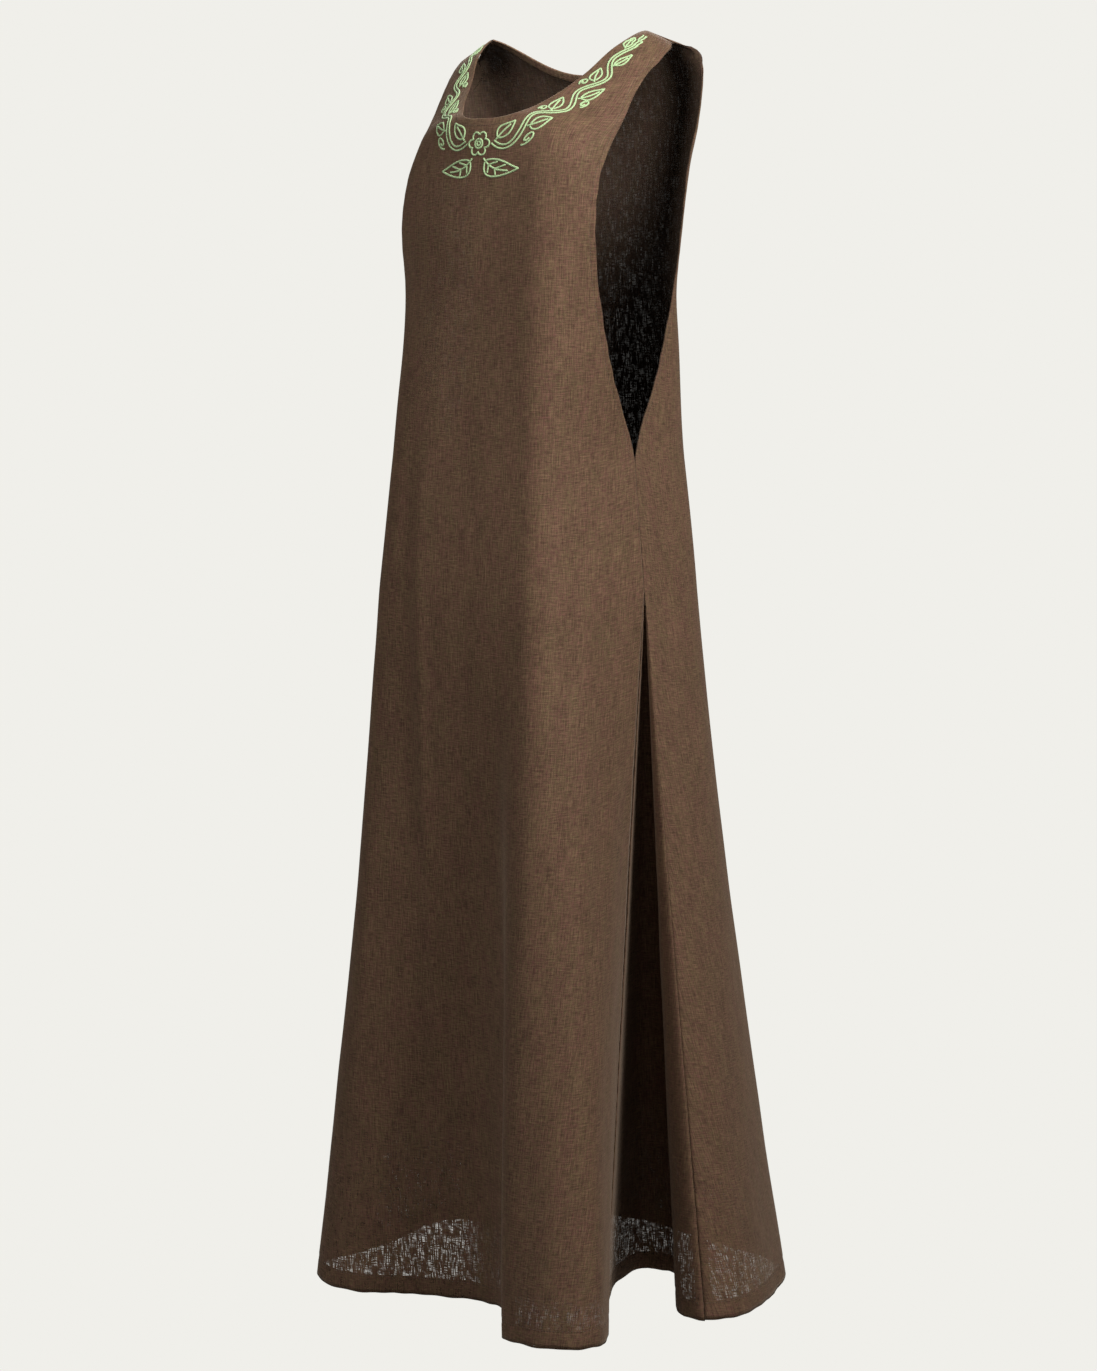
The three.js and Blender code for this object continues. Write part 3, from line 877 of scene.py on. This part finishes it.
def new_mesh(name, points, corners, sizes, flat, materials):
    """A smooth mesh. Corners lists the points of each face in turn, and flat their UVs."""
    mesh = bpy.data.meshes.new(name)
    mesh.vertices.add(len(points))
    mesh.vertices.foreach_set("co", points.ravel())
    mesh.loops.add(len(corners))
    mesh.loops.foreach_set("vertex_index", corners)
    mesh.polygons.add(len(sizes))
    mesh.polygons.foreach_set("loop_start", np.cumsum(sizes) - sizes)
    mesh.polygons.foreach_set("use_smooth", np.ones(len(sizes), bool))
    for material in materials:
        mesh.materials.append(material)
    mesh.uv_layers.new(name="cloth").data.foreach_set("uv", flat.ravel())
    return mesh


def finished(name, mesh):
    """An object of a made mesh, riding on the dress."""
    mesh.update()
    mesh.validate()
    piece = bpy.data.objects.new(name, mesh)
    bpy.context.scene.collection.objects.link(piece)
    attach(piece, "root")
    mesh.calc_loop_triangles()
    print(name, len(mesh.loop_triangles), "triangles")
    return piece


# %% Walls of cloth
def grid_mesh(name, outer, inner, uv, materials, openness):
    """A closed wall from two grids of points, its outside in the first material and its inside
    in the second."""
    rows, columns = outer.shape[:2]
    index = np.arange(rows * columns).reshape(rows, columns)
    back = index + rows * columns

    def quads(grid):
        return np.stack(cell_corners(grid), -1).reshape(-1, 4)

    def rim(line, other):
        return np.stack([line[:-1], line[1:], other[1:], other[:-1]], -1)

    sides = np.concatenate([
        rim(index[0, :], back[0, :]), rim(index[::-1, 0], back[::-1, 0]),
        rim(index[-1, ::-1], back[-1, ::-1]), rim(index[:, -1], back[:, -1])])
    faces = np.concatenate([quads(index), quads(back)[:, ::-1], sides])
    points = np.concatenate([outer.reshape(-1, 3), inner.reshape(-1, 3)])
    flat = np.concatenate([uv.reshape(-1, 2), uv.reshape(-1, 2)])[faces.ravel()]
    mesh = new_mesh(name, points, faces.ravel(), np.full(len(faces), 4), flat, materials)
    # Inside faces take the last material, the darker copy with painted shade
    looks = np.zeros(len(faces), int)
    count = (rows - 1) * (columns - 1)
    looks[count:2 * count] = len(materials) - 1
    mesh.polygons.foreach_set("material_index", looks)
    open_parts = mesh.attributes.new("openness", "FLOAT", "POINT")
    open_parts.data.foreach_set("value", np.concatenate([openness.ravel(), openness.ravel()]))
    return finished(name, mesh)


def cloth_wall(name, owner, across, height, thickness, materials):
    """A wall on a piece's own surface, over a grid of threads and heights."""
    across, height = np.broadcast_arrays(across, height)
    outer, inner = (place_on_cloth(owner, across, height, np.full(across.shape, lift))
                    for lift in (thickness / 2, -thickness / 2))
    uv = cloth_uv(owner, across, height)
    openness = weave_openness(owner, *read_net(owner, across, height), height)
    return grid_mesh(name, outer, inner, uv, materials, openness)


# %% Open and dense places of the weave
# How open the weave looks on each piece: higher up, most about one thread, and close to the hem
# between two places across the cloth. The heavy folds of the front stay dense there.
OPENNESS = {"front": (0.02, 0, 0.44, -240, -8), "back": (0.05, -25, 0.22, -400, 400),
            "left gore": (0.03, 0, 0.18, -200, 200), "right gore": (0.03, 0, 0.24, -200, 200)}
OPEN_FROM = 1130                   # how far down the cloth the open stretch begins
OPEN_LINE = 32                     # height above the hem of a thin open line beyond it


def weave_openness(owner, u, v, height):
    above, middle, low, start, end = OPENNESS[owner]
    above = above * (0.3 + 0.7 * near(u - middle, 55))
    between = fade((u - start) / 30) * fade((end - u) / 40)
    openness = above + (low - above) * fade((v - OPEN_FROM) / 90) * between
    line = near(height - FLOORWARD - OPEN_LINE, 12)
    return openness + 0.11 * fade((u - end) / 40) * line


print("open weave on:", ", ".join(OPENNESS))


# %% [markdown]
# ## Panels
#
# Each panel is one wall on a fine grid. Its rows follow the neckline at the top and the hem at
# the bottom, and lie closest together at the shoulders, where the cloth bends most. Cutting
# holes for the arms and the head out of a tube would leave ragged edges, and here the edge
# threads simply end at the armholes.

# %% Panels
CLOTH = 0.7                        # thickness of the linen
EDGE_ROLL = 0.8                    # a turned edge reaches this far past its panel
# For each piece: the solid that it stands for, columns, rows in the yoke, the body and the
# skirt, and how far it stands back from the seam lines
PANELS = {
    "front": ("front_panel", 150, (45, 100, 172), 0.35),
    "back": ("back_panel", 150, (45, 100, 172), 0.35),
    "left gore": ("left_gore", 70, (0, 0, 170), 0.5),
    "right gore": ("right_gore", 70, (0, 0, 170), 0.5),
}


def panel_heights(owner, across, rows):
    """Heights of a grid's rows, from the top edge through the armhole to the hem."""
    yoke, body, skirt = rows
    foot = FLOORWARD + EDGE_ROLL
    top = thread_top(owner, across)
    if owner.endswith("gore"):
        return top + (foot - top) * np.linspace(0, 1, skirt + 1)[:, None]
    top = top - EDGE_ROLL / 2
    share = (np.linspace(0, 1, yoke + 1) ** 1.2)[:, None]
    down = np.concatenate([np.linspace(FULL_SECTIONS, GORE_TOP, body + 1)[1:],
                           np.linspace(GORE_TOP, foot, skirt + 1)[1:]])
    below = np.broadcast_to(down[:, None], (len(down), across.shape[-1]))
    return np.concatenate([top + (FULL_SECTIONS - top) * share, below])


def add_panel(owner, columns, rows, edge):
    """A panel whose side edges stand back from the seam lines."""
    low = first_thread(owner)
    across = np.linspace(low, 1, columns + 1)[None, :]
    height = panel_heights(owner, across, rows)
    across = np.broadcast_to(across, height.shape)
    threads, heights, u, v = cloth_net(owner)
    half = np.interp(-height[:, 0], -heights, (u[:, -1] - u[:, 0]) / 2)[:, None]
    edge = edge + (EDGE_ROLL - edge) * fade((height[:, :1] - UNDERARM) / 12)
    share = 1 - edge / np.maximum(half, 4 * edge)
    middle = (low + 1) / 2
    across = middle + (across - middle) * share
    name = owner.replace(" ", "_") + "_cloth"
    return cloth_wall(name, owner, across, height, CLOTH, LINENS)


for owner, (node, *grid) in PANELS.items():
    add_panel(owner, *grid)
    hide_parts(node)


# %% [markdown]
# ## Turned edges
#
# A maker turns a raw edge under and stitches it down. At the hem 20 mm are turned up, and at the
# neckline and the armholes less than 10. The fold makes a soft round edge, two or three layers
# thick, that lets no light through. A Bevel on the panel would round its edge but add no
# second layer, so the turned cloth is a closed band of its own: one short profile, given as
# distances in from the edge and heights off the cloth, is carried along the edge.

# %% Bands and tubes
def with_first_again(ring):
    return np.concatenate([ring, ring[:, :1]], 1)


def closed_tube(rings, flat):
    """The points of a tube, its faces and their UV coordinates, with the faces outwards."""
    index = with_first_again(np.arange(rings.shape[0] * rings.shape[1]).reshape(rings.shape[:2]))
    sides = np.stack(cell_corners(index), -1).reshape(-1, 4)
    side_flats = np.stack(cell_corners(flat), -2).reshape(-1, 4, 2)
    polygons = [*sides, index[0, :-1], index[-1, -2::-1]]
    places = [*side_flats, flat[0, :-1], flat[-1, -2::-1]]
    points = rings.reshape(-1, 3)
    a, b, c, d = ((points - points[0])[sides[:, i]] for i in range(4))
    if (np.cross(b, c) * a).sum() + (np.cross(c, d) * a).sum() < 0:
        polygons = [polygon[::-1] for polygon in polygons]
        places = [place[::-1] for place in places]
    return points, polygons, places


def tubes_mesh(name, tubes, material):
    """One mesh of closed tubes. A tube is its rings of points and, with the first corner given
    again at the end, their UV coordinates."""
    points, faces, flats, first = [], [], [], 0
    for tube in tubes:
        own_points, polygons, places = closed_tube(*tube)
        points.append(own_points)
        faces += [polygon + first for polygon in polygons]
        flats += places
        first += len(own_points)
    sizes = np.array([len(polygon) for polygon in faces])
    return finished(name, new_mesh(name, np.concatenate(points), np.concatenate(faces), sizes,
                                   np.concatenate(flats), [material]))


# %% Paths along the edges
def in_from_edge(owner, side, height, distance):
    """The thread at a distance in from a side edge of a piece."""
    threads, heights, u, v = cloth_net(owner)
    end, beside = (-1, -6) if side > 0 else (0, 5)
    reach = np.interp(-height, -heights, np.abs(u[:, end] - u[:, beside]))
    width = np.interp(-height, -heights, u[:, -1] - u[:, 0])
    distance = np.minimum(distance, 0.35 * width)
    return threads[end] + (threads[beside] - threads[end]) * distance / reach


def armhole_path(owner, side):
    height = np.linspace(SHOULDER_END - 0.4, UNDERARM, 160)[:, None]
    return lambda distance: (in_from_edge(owner, side, height, distance), height)


def hem_path(owner):
    low = first_thread(owner)
    width = cloth_net(owner)[2][-1, -1] * (1 - low)
    across = np.linspace(low + 0.4 / width, 1 - 0.4 / width, int(width / 4))[:, None]
    return lambda distance: (across, FLOORWARD + distance)


def neck_curve(owner, spacing):
    """Points of a neckline on the flat cloth, evenly spaced, and the way into the cloth."""
    threads = np.linspace(-1, 1, 6001)
    top = thread_top(owner, threads)
    on_neck = top < SHOULDER_END - 0.01
    u, v = read_net(owner, threads[on_neck], top[on_neck])
    length = run_along(np.stack([u, v], -1))
    steps = np.linspace(4, length[-1] - 4, int(length[-1] / spacing))
    u, v = np.interp(steps, length, u), np.interp(steps, length, v)
    along = unit(np.gradient(np.stack([u, v], -1), axis=0))
    return steps - length[-1] / 2, u, v, -along[:, 1], along[:, 0]


def neck_path(owner):
    s, u, v, in_u, in_v = neck_curve(owner, 3.0)
    return lambda distance: find_on_cloth(owner, u[:, None] + in_u[:, None] * distance,
                                          v[:, None] + in_v[:, None] * distance)


neck_lengths = {owner: round(2 * float(neck_curve(owner, 1.0)[0][-1])) for owner in NECKLINES}
print("length of each neckline in mm:", neck_lengths)


# %% Turned edges
def fold_profile(width):
    """Distances in from the edge and heights off the cloth, round a turned edge."""
    return np.array([
        (0.75, 0.30), (0.35, 0.33), (0.08, 0.05), (0.0, -0.4), (0.08, -0.9), (0.5, -1.2),
        (width / 3, -1.22), (width * 2 / 3, -1.22), (width - 0.4, -1.2), (width, -0.95),
        (width - 0.4, -0.7), (width * 2 / 3, -0.7), (width / 3, -0.7), (0.9, -0.7),
        (0.78, -0.4)])


def turned_edge(owner, path, width):
    """The rings of a turned edge along a path."""
    distance, lift = fold_profile(width).T
    across, height = np.broadcast_arrays(*path(distance))
    rings = place_on_cloth(owner, across, height, np.broadcast_to(lift, across.shape))
    return rings, with_first_again(cloth_uv(owner, across, height))


edges = {}


def add_edges(name, owner, paths, width, material):
    edges[name] = tubes_mesh(name, [turned_edge(owner, path, width) for path in paths], material)


# Hems and armhole edges take the darker linen with painted shade
for owner in HEM:
    add_edges(owner.replace(" ", "_") + "_hem", owner, [hem_path(owner)], HEM_FOLD, LINEN_PAINTED_SHADE)
# The neck edges take the lighter copies of the linen, painted light from above
for owner, neck_painted_light in (("front", LINEN_PAINTED_LIGHT_EDGE), ("back", LINEN_PAINTED_LIGHT_FACING)):
    add_edges(owner + "_neck_edge", owner, [neck_path(owner)], NECK_FOLD, neck_painted_light)
    add_edges(owner + "_armhole_edges", owner, [armhole_path(owner, side) for side in (-1, 1)],
              ARMHOLE_FOLD, LINEN_PAINTED_SHADE)


# %% [markdown]
# ## Seams
#
# Two pieces are sewn a few millimetres in from their edges, and the cloth beyond the seam is
# pressed open on the inside. It shows through the armholes and the hem, and it stops light
# at the seam. Each seam's allowance is one closed band that lies under both pieces.

# %% Seams
SHOULDER_BAND = (0.87, 0.997)      # the threads between which a shoulder seam's band lies
BAND_LIFTS = (-0.75, -1.2)         # how far its two faces lie off the middle of the cloth


def seam_band(first, second):
    """A band under two pieces. Each is its owner and the thread and height at a distance."""
    rings, flats = [], []
    for (owner, path), far_first in ((first, True), (second, False)):
        steps = np.array([ALLOWANCE, ALLOWANCE / 2, 0.6])
        across, height = np.broadcast_arrays(*path(steps if far_first else steps[::-1]))
        for lift in BAND_LIFTS:
            rings.append(place_on_cloth(owner, across, height, np.full(across.shape, lift)))
            flats.append(cloth_uv(owner, across, height))
    order = [0, 2, 3, 1]
    turned = [rings[i] if i in (0, 2) else rings[i][:, ::-1] for i in order]
    flat = [flats[i] if i in (0, 2) else flats[i][:, ::-1] for i in order]
    return np.concatenate(turned, 1), with_first_again(np.concatenate(flat, 1))


# %% Where the seams run
def side_path(owner, side, top, foot):
    height = np.linspace(top, foot, int((top - foot) / 5) + 2)[:, None]
    return owner, lambda distance: (in_from_edge(owner, side, height, distance), height)


def shoulder_path(owner, side):
    across = side * np.linspace(*SHOULDER_BAND, 12)[:, None]
    return owner, lambda distance: (across, SHOULDER_END - 0.3 - distance)


GORE_BEGIN = GORE_TOP - GORE_START * SKIRT_LENGTH
HEM_TOP = FLOORWARD + 1
# For each seam, the two pieces that meet and the side of each
SEAMS = {
    "left_side_seam": [("front", 1, "back", -1)],
    "right_side_seam": [("back", 1, "front", -1)],
    "left_gore_seams": [("front", 1, "left gore", -1), ("left gore", 1, "back", -1)],
    "right_gore_seams": [("back", 1, "right gore", -1), ("right gore", 1, "front", -1)],
}
bands = {}
for name, rows in SEAMS.items():
    top, foot = (GORE_BEGIN, HEM_TOP) if "gore" in name else (UNDERARM, GORE_BEGIN)
    bands[name] = [(side_path(first, side, top, foot), side_path(second, other, top, foot))
                   for first, side, second, other in rows]
bands["shoulder_seams"] = [(shoulder_path("front", side), shoulder_path("back", -side))
                           for side in (-1, 1)]
# Seam bands take the darker linen with painted shade
seams = {name: tubes_mesh(name, [seam_band(*pair) for pair in pairs], LINEN_PAINTED_SHADE)
         for name, pairs in bands.items()}
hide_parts("back_neck_facing")


# %% [markdown]
# ## Stitches
#
# The turned edges are held by a line of straight stitches in thread of the cloth's colour, each
# about 2.5 mm long, sunk a little into the linen. A bump line would do from afar. Real short
# threads catch the light along the edges, and they cost few faces.

# %% Lines and threads on the cloth
def line_on_cloth(owner, across, height, lift):
    """Points, directions and outward directions along a line on the cloth."""
    here = place_on_cloth(owner, across, height, np.full(across.shape, lift))
    over = place_on_cloth(owner, across, height, np.full(across.shape, lift + 0.5))
    along = unit(np.gradient(here, axis=0))
    out = over - here
    return here, along, unit(out - along * (out * along).sum(-1, keepdims=True))


def thread_uv(lengths, corners):
    """UV coordinates that run along a thread in metres, and once around it."""
    around = np.linspace(0, 1, corners + 1)
    return np.stack(np.broadcast_arrays(lengths[:, None], around[None, :]), -1)


# %% Stitches
STITCH = 2.4                       # length of a stitch
STITCH_PITCH = 3.2
SEWING_THREAD = 0.26               # radius
STITCH_SHAPE = (-1, -0.7, 0.7, 1)  # rings along a stitch, as shares of half its length


def stitch_tubes(owner, across, height):
    """Short threads along a line on the outside of the cloth, sunk in at both ends."""
    line = line_on_cloth(owner, across, height, CLOTH / 2 + 0.04)
    reach = run_along(line[0])
    spots = np.arange(STITCH_PITCH, reach[-1] / MM - STITCH_PITCH, STITCH_PITCH) * MM
    middle, way, up = (np.stack([np.interp(spots, reach, values[:, i]) for i in range(3)], -1)
                       for values in line)
    side = np.cross(way, up)
    ends = np.array(STITCH_SHAPE) * STITCH / 2 * MM
    sizes = np.array([0.45, 1, 1, 0.45])[:, None, None] * SEWING_THREAD * MM
    sink = np.array([-1.2, 0, 0, -1.2])[:, None, None] * SEWING_THREAD * MM
    turn = (np.arange(5) * math.tau / 5)[None, :, None]
    return [(middle[i] + way[i] * ends[:, None, None] + up[i] * sink
             + sizes * (np.cos(turn) * side[i] + np.sin(turn) * up[i]),
             thread_uv(ends + i * 0.01, 5)) for i in range(len(spots))]


def edge_stitches(owner, path, distance):
    across, height = np.broadcast_arrays(*path(np.array([distance])))
    return stitch_tubes(owner, across[:, 0], height[:, 0])


stitches = {
    "hem_stitches": [tube for owner in HEM
                     for tube in edge_stitches(owner, hem_path(owner), HEM_FOLD - 1.5)],
    "armhole_stitches": [tube for owner in ("front", "back") for side in (-1, 1)
                         for tube in edge_stitches(owner, armhole_path(owner, side),
                                                   ARMHOLE_FOLD - 1)],
    "neck_stitches": [tube for owner in ("front", "back")
                      for tube in edge_stitches(owner, neck_path(owner), NECK_FOLD - 1)],
}
print("stitches:", {name: len(tubes) for name, tubes in stitches.items()})
stitches = {name: tubes_mesh(name, tubes, BROWN_THREAD) for name, tubes in stitches.items()}


# %% [markdown]
# ## Embroidery
#
# A green border follows the front neckline from shoulder to shoulder. It is drawn on the flat
# cloth, in millimetres along the neckline and in from its edge, as an embroiderer would mark it:
# a vine that sways to and fro, a leaf in each of its bends, curled tendrils where there is
# room, and a flower with two leaves at the middle. Every line is a row of chain stitches, so it
# is a raised cord whose width swells and narrows with each stitch. A curve object with a bevel
# would make even cords, but it would not lie on the folded cloth.

# %% Vine
NECK_S, NECK_U, NECK_V, NECK_IN_U, NECK_IN_V = neck_curve("front", 1.0)
VINE_END = NECK_S[-1] - 3
VINE_START = 16
WAVE = 46                          # length of one sway of the vine, to and fro
STEM = 1.9                         # half the distance between the two lines of the stem
print(f"the neckline is {2 * NECK_S[-1]:.0f} mm long, for {2 * VINE_END / WAVE:.0f} sways")


def vine_room(s):
    """Middle and sway of the vine: it has less room on the shoulder straps."""
    room = fade((NECK_S[-1] - np.abs(s) - 6) / 95)
    return 13.5 + 12.5 * room, 3.6 + 4.6 * room


def vine_lines(side):
    s = np.linspace(VINE_START, VINE_END, 500)
    middle, sway = vine_room(s)
    t = middle + sway * np.sin((s - VINE_START) / WAVE * math.tau)
    slope = np.gradient(t, s)
    steep = np.sqrt(1 + slope**2)
    return [(side * (s - part * STEM * slope / steep), t + part * STEM / steep)
            for part in (-1, 1)]


# %% Leaves, tendrils and flower
def leaf_lines(side, base, tip, width, bend):
    """Outline, midrib and side veins of a leaf."""
    base, tip = np.array(base, float), np.array(tip, float)
    t = np.linspace(0, 1, 40)[:, None]
    axis = tip - base
    aside = np.array([-axis[1], axis[0]]) / np.linalg.norm(axis)
    rib = base + axis * t + aside * bend * np.sin(math.pi * t)
    body = np.clip((t - 0.12) / 0.88, 0, 1)
    reach = aside * width * np.sin(math.pi * body**0.75)
    lines = [np.concatenate([(rib + reach)[5:], (rib - reach)[5:-1][::-1]]), rib[:33]]
    if width > 7:
        for start in (11, 20):
            for part in (-1, 1):
                end = rib[start + 6] + part * reach[start + 6] * 0.82
                lines.append(rib[start] + (end - rib[start]) * t[::3])
    return [(side * line[:, 0], line[:, 1]) for line in lines]


def tendril_line(side, s, t_middle, away, size):
    turn = np.linspace(0, 1, 60)
    radius = size * (1 - 0.75 * turn)
    angle = math.pi * (0.9 - 2.6 * turn)
    return [(side * (s + radius * np.cos(angle)), t_middle + away * radius * np.sin(angle))]


def flower_lines(t_middle):
    turn = np.linspace(0, math.tau, 241)
    petals = 8.6 + 4.2 * np.abs(np.sin(turn * 3)) ** 0.8
    lines = [(petals * np.sin(turn), t_middle - petals * np.cos(turn))]
    ring = np.linspace(0, math.tau, 61)
    for size in (2.2, 4.8):
        lines.append((size * np.sin(ring), t_middle - size * np.cos(ring)))
    return lines


# %% Border
FLOWER_MIDDLE = 27.0               # how far below the neck edge the flower stands


def border_lines():
    lines = flower_lines(FLOWER_MIDDLE)
    for side in (-1, 1):
        lines += vine_lines(side)
        lines += leaf_lines(side, (7, 42), (31, 62), 8.4, 2.5)
        for i, s in enumerate(np.arange(VINE_START, VINE_END - WAVE * 0.4, WAVE / 2)):
            away = -1 if i % 2 == 0 else 1
            share = 0.70 + 0.30 * float(fade((NECK_S[-1] - s - 30) / 80))
            middle, sway = (float(x) for x in vine_room(s + WAVE / 4))
            tip = middle + away * (sway + 5.5 * share)
            lines += leaf_lines(side, (s + 3, middle + away * 1.5), (s + WAVE * 0.46, tip),
                                6.2 * share, away * 1.8)
            if i > 0 and share > 0.9:
                lines += tendril_line(side, s + 0.5, middle + away * (sway + 5.5), away, 4.6)
    return lines


# %% Cords
CHAIN_WIDTH = 2.3
CHAIN_RISE = 0.75                  # how far a cord stands off its own middle
CHAIN_PITCH = 3.0                  # length of one chain stitch
CORD_CORNERS = 8


def chain_cord(line):
    """A raised row of chain stitches along a line of the border."""
    s, t = line
    u = np.interp(s, NECK_S, NECK_U) + np.interp(s, NECK_S, NECK_IN_U) * t
    v = np.interp(s, NECK_S, NECK_V) + np.interp(s, NECK_S, NECK_IN_V) * t
    length = run_along(np.stack([u, v], -1))
    steps = np.linspace(0, length[-1], int(length[-1] / 0.75) + 2)
    u, v = np.interp(steps, length, u), np.interp(steps, length, v)
    here, along, out = line_on_cloth("front", *find_on_cloth("front", u, v), CLOTH / 2 + 0.15)
    side = np.cross(along, out)
    swell = 1 - 0.22 * np.cos(steps / CHAIN_PITCH * math.tau) ** 4
    swell = swell * np.clip(np.minimum(steps, steps[-1] - steps) / 0.9 + 0.35, 0, 1)
    turn = (np.arange(CORD_CORNERS) * math.tau / CORD_CORNERS)[None, :, None]
    ring = (np.cos(turn) * side[:, None] * CHAIN_WIDTH / 2
            + np.sin(turn) * out[:, None] * CHAIN_RISE)
    rings = here[:, None] + ring * (swell * MM)[:, None, None]
    return rings, thread_uv(steps * MM, CORD_CORNERS)


vine = tubes_mesh("neck_embroidery", [chain_cord(line) for line in border_lines()],
                  GREEN_THREAD)


# %% [markdown]
# ## The cut of each sheet
#
# The size of each piece of cloth on the flat cloth is printed, from seam to seam and from its
# top to the hem. A maker adds what is turned under. A panel is a trapezium with armholes and a
# neck cut out of it, so its area is printed too. The flat sizes come from the net on the cloth.

# %% Sheets
def flat_area(owner):
    """The area of a piece on the flat cloth, in square metres, and its width and length."""
    across = np.linspace(first_thread(owner), 1, 161)
    height = panel_heights(owner, across[None, :], (40, 60, 90))
    u, v = read_net(owner, np.broadcast_to(across, height.shape), height)
    a, b, c, d = zip(cell_corners(u), cell_corners(v))
    area = np.abs((c[0] - a[0]) * (d[1] - b[1]) - (d[0] - b[0]) * (c[1] - a[1])).sum() / 2
    return area * MM**2, np.ptp(u) * MM, np.ptp(v) * MM


OWN_PIECES = {
    "front": ([edges["front_hem"], edges["front_neck_edge"],
               edges["front_armhole_edges"], seams["left_side_seam"],
               seams["right_side_seam"], seams["shoulder_seams"], vine,
               *stitches.values()], ["back_cloth"]),
    "back": ([edges["back_hem"], edges["back_armhole_edges"]], ["front_cloth"]),
    "left gore": ([edges["left_gore_hem"], seams["left_gore_seams"]],
                  ["front_cloth", "back_cloth"]),
    "right gore": ([edges["right_gore_hem"], seams["right_gore_seams"]],
                   ["front_cloth", "back_cloth"]),
}
for owner, (with_pieces, rests_on) in OWN_PIECES.items():
    area, width, length = flat_area(owner)
    print(f"{owner}: {width * 1000:.0f} x {length * 1000:.0f} mm, {area:.3f} m2")
back_neck = 2 * neck_curve("back", 1.0)[0][-1] * MM
